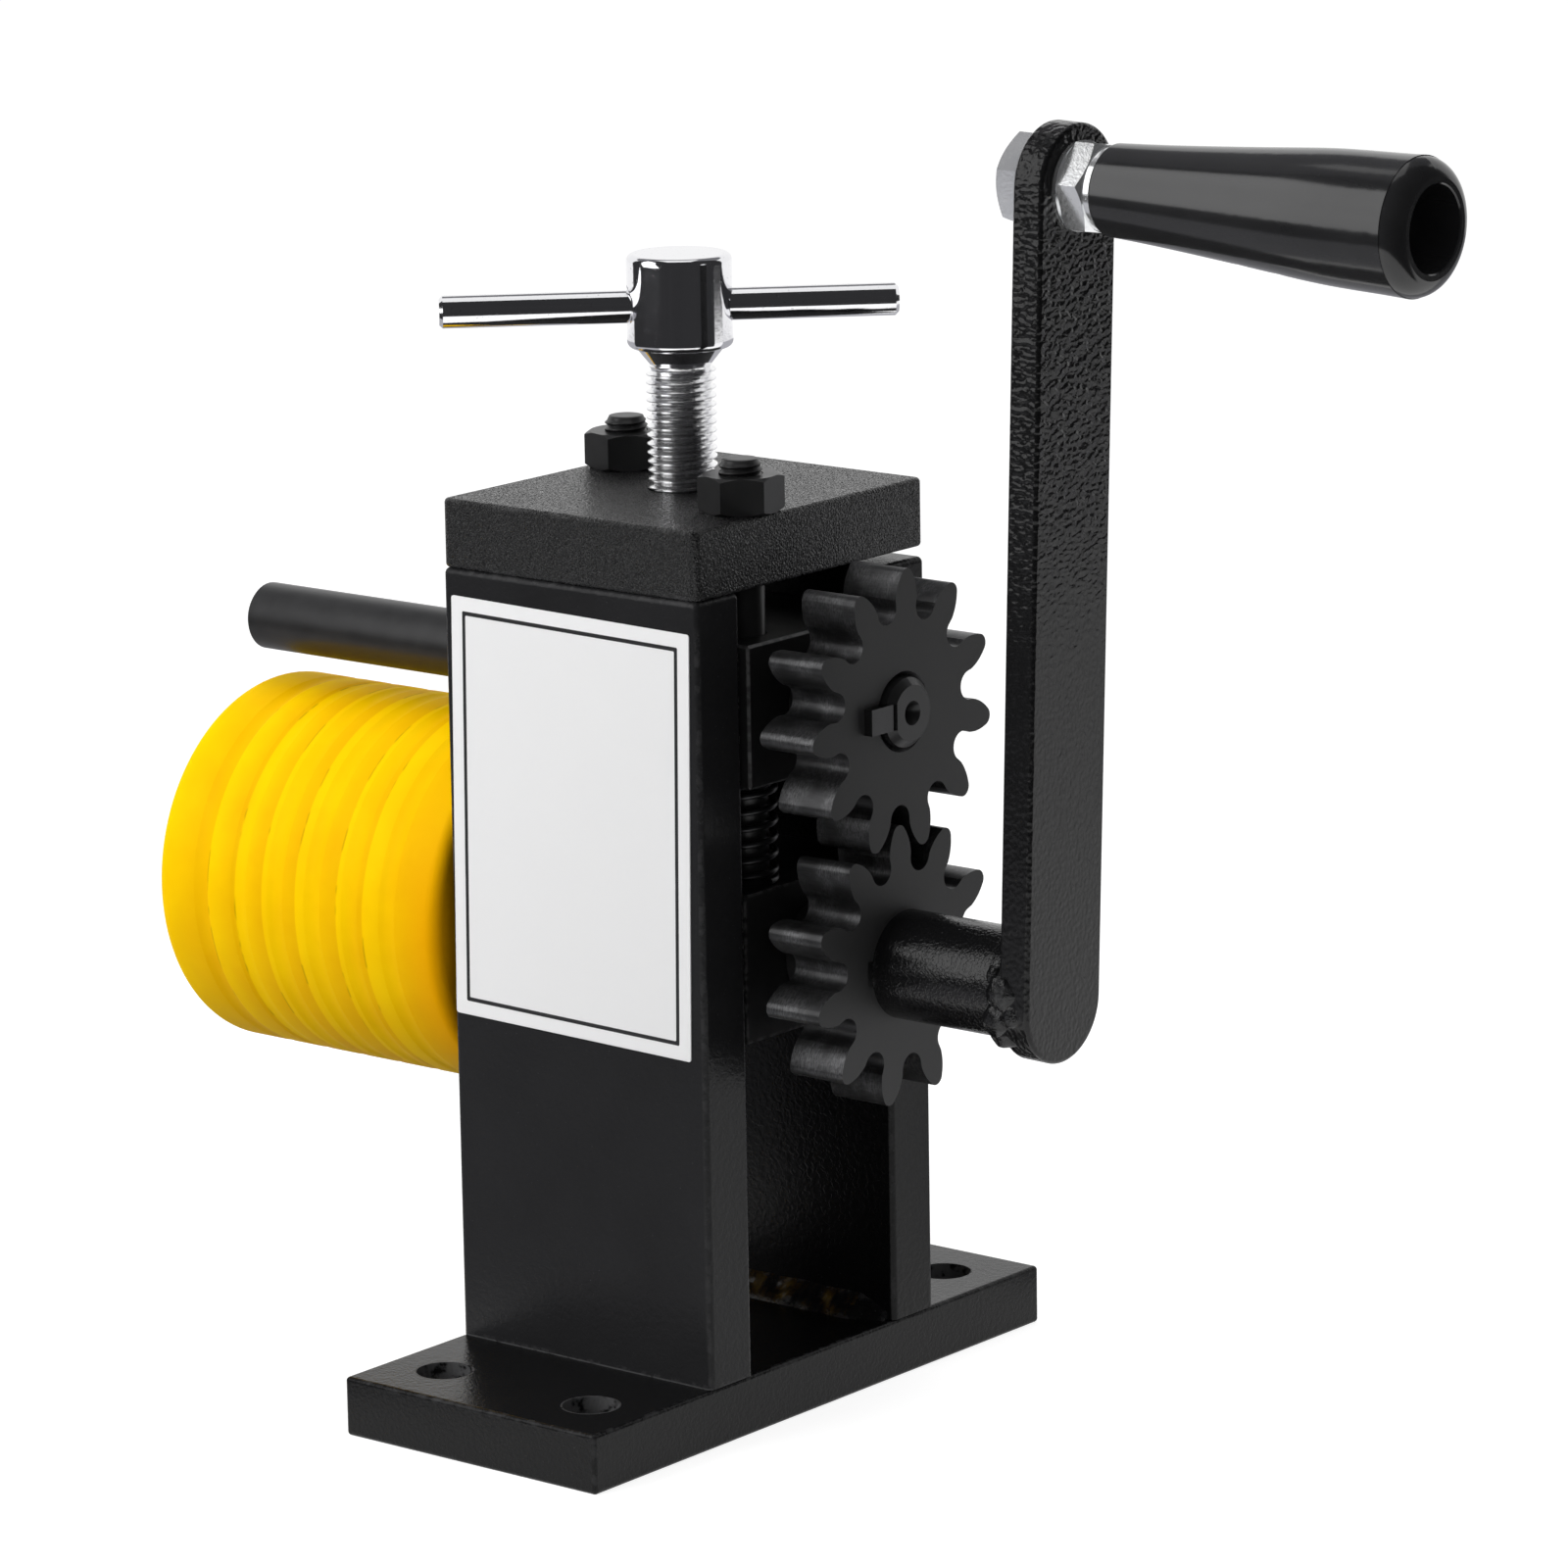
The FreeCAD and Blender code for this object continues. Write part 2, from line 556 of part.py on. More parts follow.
def gear_key(axis_z, key_turn, proud):
    """Rectangular key shared by a shaft and its gear."""
    return keyway((GEAR_BACK, GEAR_FRONT + proud), KEY_INNER, KEY_OUTER, KEY_WIDTH, axis_z, key_turn)


def shaft_keyway(x_span, axis_z, key_turn):
    """Slot in the shaft under the gear's key, a little deeper than the key."""
    return keyway(x_span, KEY_INNER - KEYWAY_FLOOR_GAP, KEY_OUTER, KEY_WIDTH, axis_z, key_turn)


def centre_hole(end, axis_z):
    """Lathe centre hole in a shaft's +X end."""
    mouth = CENTRE_HOLE_MOUTH / 2
    drill = CENTRE_HOLE_DRILL / 2
    cone = (mouth - drill) / math.tan(math.radians(30))
    return turned(AXIS_X, (0, 0, axis_z), [(end - CENTRE_HOLE_DEPTH, 0), (end - CENTRE_HOLE_DEPTH, drill),
                                           (end - cone, drill), (end, mouth), (end, 0)])


def upper_shaft():
    """Upper shaft: its free end is the slim forming roller."""
    low = -FACE - ROD_REACH
    high = GEAR_FRONT + SHAFT_PROUD
    groove = GROOVE_DIAMETER / 2
    shaft = turned(AXIS_X, (0, 0, UPPER_AXIS), [
        (low, 0), (low, SHAFT_RADIUS - ROD_CHAMFER), (low + ROD_CHAMFER, SHAFT_RADIUS),
        (RETAINER_OUTER, SHAFT_RADIUS), (RETAINER_OUTER, groove),
        (RETAINER_INNER, groove), (RETAINER_INNER, SHAFT_RADIUS),
        (high - SHAFT_END_CHAMFER, SHAFT_RADIUS), (high, SHAFT_RADIUS - SHAFT_END_CHAMFER), (high, 0)])
    return shaft.cut(shaft_keyway((GEAR_BACK, high), UPPER_AXIS, 0)).cut(centre_hole(high, UPPER_AXIS))


def ring(outer_radius, x_span, axis_z, bore_radius=SHAFT_RADIUS + FIT):
    """Plain ring on a shaft."""
    low, high = x_span
    return turned(AXIS_X, (0, 0, axis_z), [(low, bore_radius), (low, outer_radius),
                                           (high, outer_radius), (high, bore_radius)])


def upper_retainer():
    """Open ring in the upper shaft's groove, which stops the shaft from moving towards the gears."""
    along = (RETAINER_OUTER, RETAINER_INNER)
    whole = ring(RETAINER_DIAMETER / 2, along, UPPER_AXIS, GROOVE_DIAMETER / 2 + FIT)
    opening = block(along, span(RETAINER_OPENING), (UPPER_AXIS, UPPER_AXIS + RETAINER_DIAMETER))
    return whole.cut(opening)


def make_upper_shaft():
    """The upper shaft and everything that turns with it."""
    phase = -90 - MESH_LEAN + 180 / TEETH
    save("upper_shaft", upper_shaft())
    save("upper_gear", gear(UPPER_AXIS, phase, 0))
    save("upper_key", gear_key(UPPER_AXIS, 0, KEY_PROUD))
    save("upper_spacer", ring(SPACER_DIAMETER / 2, (UPPER_BLOCK_FACE + THRUST_GAP, GEAR_BACK), UPPER_AXIS))
    save("upper_retainer", upper_retainer())


# ---- Large roller ------------------------------------------------------------------------

def roller_tyre():
    """Urethane tyre with rounded edges and shallow turned bands."""
    radius = ROLLER_DIAMETER / 2
    bore = CORE_DIAMETER / 2 + FIT
    turn_in = ROLLER_EDGE_ROUND * (1 - math.sqrt(0.5))
    outline = [(ROLLER_OUTER, bore), (ROLLER_OUTER, radius - ROLLER_EDGE_ROUND),
               (ROLLER_OUTER + turn_in, radius - turn_in, ROLLER_OUTER + ROLLER_EDGE_ROUND, radius)]
    step = (ROLLER_LENGTH - 2 * ROLLER_EDGE_ROUND) / (BAND_COUNT + 1)
    for band in range(1, BAND_COUNT + 1):
        middle = ROLLER_OUTER + ROLLER_EDGE_ROUND + band * step
        low, high = middle - BAND_WIDTH / 2, middle + BAND_WIDTH / 2
        outline += [(low, radius), (middle, radius - BAND_DEPTH, high, radius)]
    outline += [(ROLLER_INNER - ROLLER_EDGE_ROUND, radius),
                (ROLLER_INNER - turn_in, radius - turn_in, ROLLER_INNER, radius - ROLLER_EDGE_ROUND),
                (ROLLER_INNER, bore)]
    return turned(AXIS_X, (0, 0, LOWER_AXIS), outline)


def roller_key_slot(floor_gap=0.0):
    """Key, or with a gap its slot, half in the shaft and half in the roller's core."""
    middle = (ROLLER_INNER + CORE_OUTER) / 2
    low, high = middle - ROLLER_KEY_LENGTH / 2, middle + ROLLER_KEY_LENGTH / 2
    inner = SHAFT_RADIUS - ROLLER_KEY_HEIGHT / 2 - floor_gap
    outer = SHAFT_RADIUS + ROLLER_KEY_HEIGHT / 2 + floor_gap
    return keyway((low, high), inner, outer, ROLLER_KEY_WIDTH, LOWER_AXIS)


def roller_core():
    """Steel core of the large roller, keyed to the drive shaft."""
    return ring(CORE_DIAMETER / 2, (CORE_OUTER, ROLLER_INNER), LOWER_AXIS).cut(roller_key_slot(FIT))


def drive_shaft():
    """Lower shaft: it carries the large roller, the lower gear and the crank."""
    low = CORE_OUTER
    high = ARM_BACK - HUB_END_GAP
    chamfer = ROD_CHAMFER
    shaft = turned(AXIS_X, (0, 0, LOWER_AXIS), [
        (low, 0), (low, SHAFT_RADIUS - chamfer), (low + chamfer, SHAFT_RADIUS),
        (high - chamfer, SHAFT_RADIUS), (high, SHAFT_RADIUS - chamfer), (high, 0)])
    screw_hole = rod_x(END_SCREW_DIAMETER / 2 + FIT, (low, low + END_SCREW_LENGTH), 0, LOWER_AXIS)
    slot = shaft_keyway((GEAR_BACK, GEAR_FRONT), LOWER_AXIS, -CRANK_LEAN)
    return shaft.cut(screw_hole).cut(slot).cut(roller_key_slot(FIT))


def roller_end_screw():
    """Hexagon screw in the shaft's end that holds the roller on."""
    under_head = CORE_OUTER - END_WASHER_THICKNESS
    head = hexagon_nut(END_SCREW_ACROSS_FLATS, (under_head - END_SCREW_HEAD, under_head), AXIS_X,
                       (0, 0, LOWER_AXIS), 0)
    shank = rod_x(END_SCREW_DIAMETER / 2, (under_head, CORE_OUTER + END_SCREW_LENGTH), 0, LOWER_AXIS)
    return head.fuse(shank).removeSplitter()


def make_large_roller():
    """The roller, its core and its fixings, on the drive shaft."""
    save("drive_shaft", drive_shaft())
    save("roller_tyre", roller_tyre())
    save("roller_core", roller_core())
    save("roller_key", roller_key_slot())
    save("roller_thrust_washer",
         ring(THRUST_WASHER_DIAMETER / 2, (ROLLER_INNER, -FACE - THRUST_GAP), LOWER_AXIS))
    save("roller_end_washer",
         ring(END_WASHER_DIAMETER / 2, (CORE_OUTER - END_WASHER_THICKNESS, CORE_OUTER), LOWER_AXIS,
              END_SCREW_DIAMETER / 2 + FIT))
    save("roller_end_screw", roller_end_screw())


# ---- Crank -------------------------------------------------------------------------------

def dished(shape):
    """Shape leaned outwards with the arm, about the middle of the hub's end."""
    return shape.copy().rotate(FreeCAD.Vector(ARM_BACK, 0, LOWER_AXIS), AXIS_Y, ARM_DISH)


def crank_arm():
    """Flat bar with round ends, drilled for the handle's bolt."""
    radius = ARM_WIDTH / 2
    low, high = LOWER_AXIS - ARM_FOOT_DROP, LOWER_AXIS + CRANK_RADIUS
    corners = [FreeCAD.Vector(ARM_BACK, side * radius, level) for side, level in
               ((-1, low), (-1, high), (1, high), (1, low))]
    crown = FreeCAD.Vector(ARM_BACK, 0, high + radius)
    foot = FreeCAD.Vector(ARM_BACK, 0, low - radius)
    edges = [Part.makeLine(corners[0], corners[1]), Part.Arc(corners[1], crown, corners[2]).toShape(),
             Part.makeLine(corners[2], corners[3]), Part.Arc(corners[3], foot, corners[0]).toShape()]
    bar = Part.Face(Part.Wire(edges)).extrude(FreeCAD.Vector(ARM_THICKNESS, 0, 0))
    rims = [edge for edge in bar.Edges if abs(edge.BoundBox.XLength) < 1e-6]
    bar = bar.makeFillet(ARM_EDGE_ROUND, rims)
    bar = about_x(bar, -CRANK_LEAN, 0, LOWER_AXIS)
    hole = rod_x(HANDLE_BOLT_DIAMETER / 2 + FIT, (ARM_BACK, ARM_FRONT), HANDLE_Y, HANDLE_Z)
    return dished(bar.cut(hole))


def beyond_arm_face():
    """Space that the dished arm takes at the hub's end."""
    reach = span(2 * ARM_WIDTH)
    levels = (LOWER_AXIS + reach[0], LOWER_AXIS + reach[1])
    return dished(block((ARM_BACK, ARM_FRONT), reach, levels))


def crank_hub():
    """Round boss between the lower gear and the arm, and the grub screw in its back."""
    radius = HUB_DIAMETER / 2
    hub = ring(radius, (GEAR_FRONT, ARM_BACK + ARM_THICKNESS / 2), LOWER_AXIS).cut(beyond_arm_face())
    middle = FreeCAD.Vector((GEAR_FRONT + ARM_BACK) / 2, 0, LOWER_AXIS)
    hole = Part.makeCylinder(HUB_GRUB_DIAMETER / 2, HUB_DIAMETER, middle, AXIS_Y)
    hole = about_x(hole, -CRANK_LEAN, 0, LOWER_AXIS)
    grub = hole.common(ring(radius - HUB_GRUB_SUNK, (GEAR_FRONT, ARM_BACK), LOWER_AXIS))
    return hub.cut(hole), grub


def hub_weld():
    """Bead round the hub where it meets the arm."""
    radius = HUB_DIAMETER / 2
    hollow = HUB_WELD_LEG * WELD_HOLLOW
    end = ARM_BACK + ARM_THICKNESS / 2
    bead = turned(AXIS_X, (0, 0, LOWER_AXIS), [
        (ARM_BACK - HUB_WELD_LEG, radius), (ARM_BACK - hollow, radius + hollow,
                                            ARM_BACK, radius + HUB_WELD_LEG),
        (end, radius + HUB_WELD_LEG), (end, radius)])
    return bead.cut(beyond_arm_face())


def handle_ring(outer_radius, x_span, bore_radius=HANDLE_BOLT_DIAMETER / 2 + FIT):
    """Washer on the handle's bolt."""
    low, high = x_span
    return dished(turned(AXIS_X, (0, HANDLE_Y, HANDLE_Z), [
        (low, bore_radius), (low, outer_radius), (high, outer_radius), (high, bore_radius)]))


def handle_hexagon(across_flats, x_span, bore_radius, turn):
    """Nut, or with no bore a bolt's head, on the handle's axis."""
    return dished(hexagon_nut(across_flats, x_span, AXIS_X, (0, HANDLE_Y, HANDLE_Z), bore_radius, turn))


def handle_bolt():
    """Hexagon bolt with its head behind the arm and a slimmer end for the nut in the grip."""
    radius = HANDLE_BOLT_DIAMETER / 2
    end_radius = BOLT_END_DIAMETER / 2
    tip = END_NUT_BACK + END_NUT_HEIGHT + BOLT_END_PROUD
    shank = dished(turned(AXIS_X, (0, HANDLE_Y, HANDLE_Z), [
        (ARM_BACK, 0), (ARM_BACK, radius), (SHANK_END, radius), (SHANK_END, end_radius),
        (tip - BOLT_END_CHAMFER, end_radius), (tip, end_radius - BOLT_END_CHAMFER), (tip, 0)]))
    head = handle_hexagon(HANDLE_ACROSS_FLATS, (ARM_BACK - HANDLE_BOLT_HEAD, ARM_BACK), 0, HEAD_TURN)
    return head.fuse(shank).removeSplitter()


def grip():
    """Hollow revolving grip: a slim hollow taper, a full belly, a moulding seam and a round rim."""
    bore = HANDLE_BOLT_DIAMETER / 2 + GRIP_CLEARANCE
    start = GRIP_START
    seam = start + GRIP_SEAM
    round_in = GRIP_EDGE_ROUND * (1 - math.sqrt(0.5))
    body = [value for station, radius in GRIP_BODY for value in (start + station, radius)]
    rim_middle = (GRIP_END - GRIP_RIM_SHOULDER[0], GRIP_SEAM_RADIUS - GRIP_RIM_SHOULDER[1])
    return dished(turned(AXIS_X, (0, HANDLE_Y, HANDLE_Z), [
        (start, bore), (start, GRIP_START_RADIUS - GRIP_EDGE_ROUND),
        (start + round_in, GRIP_START_RADIUS - round_in, start + GRIP_EDGE_ROUND, GRIP_START_RADIUS),
        (*body, seam, GRIP_SEAM_RADIUS), (seam, GRIP_SEAM_RADIUS - GRIP_SEAM_HEIGHT),
        (*rim_middle, GRIP_END, GRIP_RIM_RADIUS),
        (GRIP_END, GRIP_RECESS_RADIUS + GRIP_RECESS_CHAMFER),
        (GRIP_END - GRIP_RECESS_CHAMFER, GRIP_RECESS_RADIUS),
        (RECESS_FLOOR, GRIP_RECESS_RADIUS), (RECESS_FLOOR, bore)]))


def make_handle():
    """The revolving handle's bolt, nuts, washers and grip."""
    bolt_hole = HANDLE_BOLT_DIAMETER / 2 + FIT
    end_hole = BOLT_END_DIAMETER / 2 + FIT
    save("handle_bolt", handle_bolt())
    save("handle_washer", handle_ring(LOCK_WASHER_DIAMETER / 2, (ARM_FRONT, LOCK_NUT_BACK)))
    save("handle_nut", handle_hexagon(HANDLE_ACROSS_FLATS, (LOCK_NUT_BACK, LOCK_NUT_FRONT), bolt_hole,
                                      LOCK_NUT_TURN))
    save("grip_washer", handle_ring(GRIP_WASHER_DIAMETER / 2,
                                    (LOCK_NUT_FRONT, LOCK_NUT_FRONT + GRIP_WASHER_THICKNESS)))
    save("grip", grip())
    save("grip_end_washer", handle_ring(NUT_WASHER_DIAMETER / 2, (SHANK_END, END_NUT_BACK), end_hole))
    save("grip_end_nut", handle_hexagon(END_NUT_ACROSS_FLATS, (END_NUT_BACK, END_NUT_BACK + END_NUT_HEIGHT),
                                        end_hole, 0))


def make_crank():
    """The lower gear, the hub and the arm."""
    save("lower_gear", gear(LOWER_AXIS, 90 + MESH_LEAN, -CRANK_LEAN))
    save("lower_key", gear_key(LOWER_AXIS, -CRANK_LEAN, 0))
    save("lower_spacer", ring(SPACER_DIAMETER / 2, (FACE + THRUST_GAP, GEAR_BACK), LOWER_AXIS))
    hub, grub = crank_hub()
    save("crank_hub", hub)
    save("crank_hub_grub", grub)
    save("crank_hub_weld", hub_weld())
    save("crank_arm", crank_arm())


os.makedirs("parts", exist_ok=True)
make_frame()
make_slide()
make_upper_shaft()
make_large_roller()
make_crank()
make_handle()
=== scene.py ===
"""Bench roller press for curving bangles and cuffs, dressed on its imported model.

X runs along the two rollers, with the gears and the crank at +X. Y runs from the front upright to
the back one, and Z is up. Lengths in the code are metres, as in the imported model.
"""

import json
import math

import bmesh
import bpy
from mathutils import Matrix, Vector, noise
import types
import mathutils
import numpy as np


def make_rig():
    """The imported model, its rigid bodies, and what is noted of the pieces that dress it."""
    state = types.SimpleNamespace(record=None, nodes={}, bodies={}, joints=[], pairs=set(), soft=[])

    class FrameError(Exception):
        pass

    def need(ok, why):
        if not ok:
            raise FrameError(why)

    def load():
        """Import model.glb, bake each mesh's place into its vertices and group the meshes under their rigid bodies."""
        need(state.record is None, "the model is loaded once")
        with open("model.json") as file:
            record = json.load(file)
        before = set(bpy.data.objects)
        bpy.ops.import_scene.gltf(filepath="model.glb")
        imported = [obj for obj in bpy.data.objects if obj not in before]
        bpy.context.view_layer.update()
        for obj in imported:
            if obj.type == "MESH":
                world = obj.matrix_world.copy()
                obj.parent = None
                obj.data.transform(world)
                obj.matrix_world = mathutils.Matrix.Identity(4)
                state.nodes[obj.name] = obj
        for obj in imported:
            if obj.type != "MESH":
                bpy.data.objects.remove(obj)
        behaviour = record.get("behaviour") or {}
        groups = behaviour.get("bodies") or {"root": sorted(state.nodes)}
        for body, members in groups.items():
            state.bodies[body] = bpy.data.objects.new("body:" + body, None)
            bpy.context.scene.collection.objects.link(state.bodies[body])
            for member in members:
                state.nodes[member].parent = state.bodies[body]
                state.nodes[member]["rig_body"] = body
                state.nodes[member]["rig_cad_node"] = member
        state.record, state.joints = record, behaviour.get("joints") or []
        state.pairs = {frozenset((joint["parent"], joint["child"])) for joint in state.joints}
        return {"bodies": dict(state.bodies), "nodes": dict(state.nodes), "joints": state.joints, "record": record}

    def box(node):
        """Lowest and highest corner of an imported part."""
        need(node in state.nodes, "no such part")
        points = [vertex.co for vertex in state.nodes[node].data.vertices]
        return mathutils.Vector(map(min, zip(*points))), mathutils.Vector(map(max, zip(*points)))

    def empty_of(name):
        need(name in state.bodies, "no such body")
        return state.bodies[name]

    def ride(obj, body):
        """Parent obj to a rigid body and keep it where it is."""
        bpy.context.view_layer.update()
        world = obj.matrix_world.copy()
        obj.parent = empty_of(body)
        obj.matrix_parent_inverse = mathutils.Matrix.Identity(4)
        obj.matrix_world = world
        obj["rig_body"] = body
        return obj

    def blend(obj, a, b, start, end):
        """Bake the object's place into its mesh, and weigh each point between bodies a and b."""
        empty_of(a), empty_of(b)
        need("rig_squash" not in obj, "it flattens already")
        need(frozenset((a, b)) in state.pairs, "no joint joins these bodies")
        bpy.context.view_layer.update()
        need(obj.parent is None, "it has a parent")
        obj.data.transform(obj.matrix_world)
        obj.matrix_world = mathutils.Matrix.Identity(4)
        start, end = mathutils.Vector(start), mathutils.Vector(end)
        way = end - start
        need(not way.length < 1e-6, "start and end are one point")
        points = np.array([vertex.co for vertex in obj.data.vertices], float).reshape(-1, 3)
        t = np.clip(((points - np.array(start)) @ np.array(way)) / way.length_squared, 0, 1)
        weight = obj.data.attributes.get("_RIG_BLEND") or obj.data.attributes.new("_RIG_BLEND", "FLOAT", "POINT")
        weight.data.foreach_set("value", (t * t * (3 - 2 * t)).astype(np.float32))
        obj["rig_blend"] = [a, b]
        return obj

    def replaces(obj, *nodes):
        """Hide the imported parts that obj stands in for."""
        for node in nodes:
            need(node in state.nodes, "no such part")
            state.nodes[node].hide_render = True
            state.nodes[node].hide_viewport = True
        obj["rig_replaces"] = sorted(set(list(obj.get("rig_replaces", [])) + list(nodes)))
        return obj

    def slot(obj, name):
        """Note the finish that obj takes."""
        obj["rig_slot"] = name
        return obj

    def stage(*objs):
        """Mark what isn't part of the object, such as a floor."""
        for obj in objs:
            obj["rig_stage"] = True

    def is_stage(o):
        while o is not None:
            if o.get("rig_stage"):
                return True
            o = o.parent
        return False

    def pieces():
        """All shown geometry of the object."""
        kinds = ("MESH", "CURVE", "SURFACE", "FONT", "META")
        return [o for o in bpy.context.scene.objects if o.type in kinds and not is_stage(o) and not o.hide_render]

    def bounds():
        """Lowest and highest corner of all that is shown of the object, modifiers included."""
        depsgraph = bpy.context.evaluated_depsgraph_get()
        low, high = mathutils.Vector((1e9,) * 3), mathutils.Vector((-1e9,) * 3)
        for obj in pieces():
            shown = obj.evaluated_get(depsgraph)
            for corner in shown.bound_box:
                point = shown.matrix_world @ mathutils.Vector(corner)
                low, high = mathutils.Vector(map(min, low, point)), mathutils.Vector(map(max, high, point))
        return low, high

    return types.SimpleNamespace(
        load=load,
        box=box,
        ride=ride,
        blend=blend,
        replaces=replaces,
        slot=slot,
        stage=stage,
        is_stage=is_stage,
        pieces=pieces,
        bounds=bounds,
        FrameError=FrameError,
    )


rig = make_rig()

bl_info = {
    "name": "Bench Roller Press",
    "version": (1, 0, 0),
    "blender": (4, 5, 0),
    "location": "View3D > Sidebar > Roller Press",
    "description": "Finishes, screw threads, weld beads, label plate and studio of a bench roller press",
    "category": "Object",
}

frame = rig.load()
CAD_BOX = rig.bounds()
MM = 0.001

# The pressure screw: radii of its tip, thread, run-out and neck, the levels where thread, cone and
# head begin, the flat under the head's round, and a radius inside the head's skin. One turn of the
# thread is in shares of its pitch and of its depth below the full radius.
TIP_RADIUS, TIP_BEVEL = 0.0055, 0.0005
THREAD_RADIUS, RUNOUT_RADIUS, NECK_RADIUS = 0.008, 0.0064, 0.007
THREAD_LEVEL, CONE_LEVEL, HEAD_LEVEL = 0.1879, 0.2406, 0.2445
HEAD_STEP, HEAD_CORE = 0.0004, 0.009
THREAD_TURN = ((0.02, 1.0), (0.23, 1.0), (0.545, 0.06), (0.575, 0.0), (0.675, 0.0), (0.705, 0.06))

# The tie rods: length of their thread, its run-out, the bevel at the bottom, and the point above the
# thread as pairs of distance below the top and inset from the thread's root.
STUD_THREAD, STUD_RUNOUT, STUD_BEVEL = 0.020, 0.0009, 0.001
STUD_POINT = ((0.0006, 0.0002), (0.0001, 0.0004), (0.0, 0.0007))

# The lifting springs: turns in all, and rise of a closed turn in wire diameters.
SPRING_TURNS, CLOSED_RISE = 7, 1.25

# Weld beads: share that the skin falls in between the legs, height and length of the lumps, share of
# the leg at a bead's ends, share of the swelling round the hub, and how far skin and root are tucked in.
BEAD_HOLLOW, BEAD_LUMPS, LUMP_LENGTH = 0.30, 0.20, 0.0048
BEAD_END, END_TAPER, HUB_SWELL = 0.35, 6, 0.38
TUCK, HUB_TUCK, ROOT_TUCK = 0.0002, 0.0003, 0.0004

# The crank's arm: its back at the shaft's level, its lean in degrees, and half its width. The mounds
# where the hub's bead ran over its edge: offset from that edge, half sizes and seed.
ARM_BACK, ARM_DISH, ARM_HALF_WIDTH = 0.0995, 1.3, 0.01365
HUB_RUNS = (((0.0004, 0.0006, 0.0012), (0.0040, 0.0017, 0.0042), 2.0),
            ((-0.0012, 0.0010, -0.0050), (0.0036, 0.0017, 0.0038), 5.0),
            ((0.0032, 0.0007, -0.0036), (0.0026, 0.0011, 0.0032), 9.0),
            ((-0.0026, 0.0022, 0.0045), (0.0022, 0.0014, 0.0024), 12.0),
            ((-0.0002, 0.0040, -0.0088), (0.0046, 0.0030, 0.0032), 15.0))

# The label plate: thickness, bevel, corners of its frame line, and how it sits on the upright.
LABEL_THICK, LABEL_BEVEL = 0.00028, 0.0001
LINE_OUTER_CORNER, LINE_INNER_CORNER = 0.0004, 0.0003
LABEL_X, LABEL_Z, LABEL_TILT = -0.0007, 0.14015, 1.0

# Places on the finishes, in millimetres: the base's bench holes, the levels between which the arm's
# grain turns coarse, and the cut lines round the tyre from its free end.
HOLE_SPACING, HOLE_RADIUS = (44.0, 130.0), 6.5
GRAIN_LEVELS = (170.0, 235.0)
TYRE_BANDS = (17.3, 26.3, 34.8, 45.8, 58.3, 66.8, 80.0)

# Tones of bare or dusty places on the finishes, of painted glints in the top plate's sand, and of
# # the painted highlight lines at the base's bench holes and the front upright's foot.
SPECK_AND_GLINT = (0.10, 0.10, 0.105)
WORN_COAT_AND_HIGHLIGHT = (0.07, 0.07, 0.072)
WORN_ARM = (0.05, 0.05, 0.052)
WORN_OXIDE = (0.12, 0.12, 0.12)
DUST = (0.05, 0.05, 0.055)
CUT_LINE = (0.30, 0.13, 0.0)


# ---- Sizes and colours -------------------------------------------------------------------

def length(name, description, default):
    """Length property of the press, in metres."""
    return bpy.props.FloatProperty(name=name, description=description, default=default, min=0.0,
                                   precision=5, unit="LENGTH", subtype="DISTANCE")


def colour(name, description, default):
    """Linear colour property of a finish."""
    return bpy.props.FloatVectorProperty(name=name, description=description, default=default,
                                         min=0.0, max=1.0, size=3, subtype="COLOR")


class PressSizes(bpy.types.PropertyGroup):
    """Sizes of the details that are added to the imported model."""

    screw_pitch: length("Screw pitch", "Rise of the pressure screw in one turn", 0.002)
    screw_depth: length("Screw thread depth", "Radial depth of the pressure screw's thread", 0.0012)
    stud_pitch: length("Stud pitch", "Pitch of the tie rods' thread", 0.0015)
    stud_depth: length("Stud thread depth", "Radial depth of the tie rods' thread", 0.0006)
    spring_wire: length("Spring wire", "Diameter of the lifting springs' wire", 0.0016)
    head_round: length("Head round", "Round on the edges of the pressure screw's head", 0.0016)
    bar_hole_round: length("Bar hole round", "Softened mouth of the tommy bar's hole", 0.0013)
    weld_leg: length("Foot weld leg", "Leg of the weld beads at the uprights' feet", 0.0052)
    block_weld_leg: length("Block weld leg", "Leg of the weld beads under the lower block", 0.0042)
    hub_weld_leg: length("Hub weld leg", "Leg of the bead between the crank's hub and arm", 0.0058)
    bead_step: length("Bead step", "Distance between the ripples of a weld bead", 0.0021)
    label_width: length("Label width", "Width of the label plate", 0.0702)
    label_height: length("Label height", "Height of the label plate", 0.0982)
    label_inset: length("Label inset", "Edge of the label plate to its frame line", 0.0033)
    label_line: length("Label line", "Width of the frame line", 0.00095)
    label_corner: length("Label corner", "Round on the corners of the label plate", 0.0007)


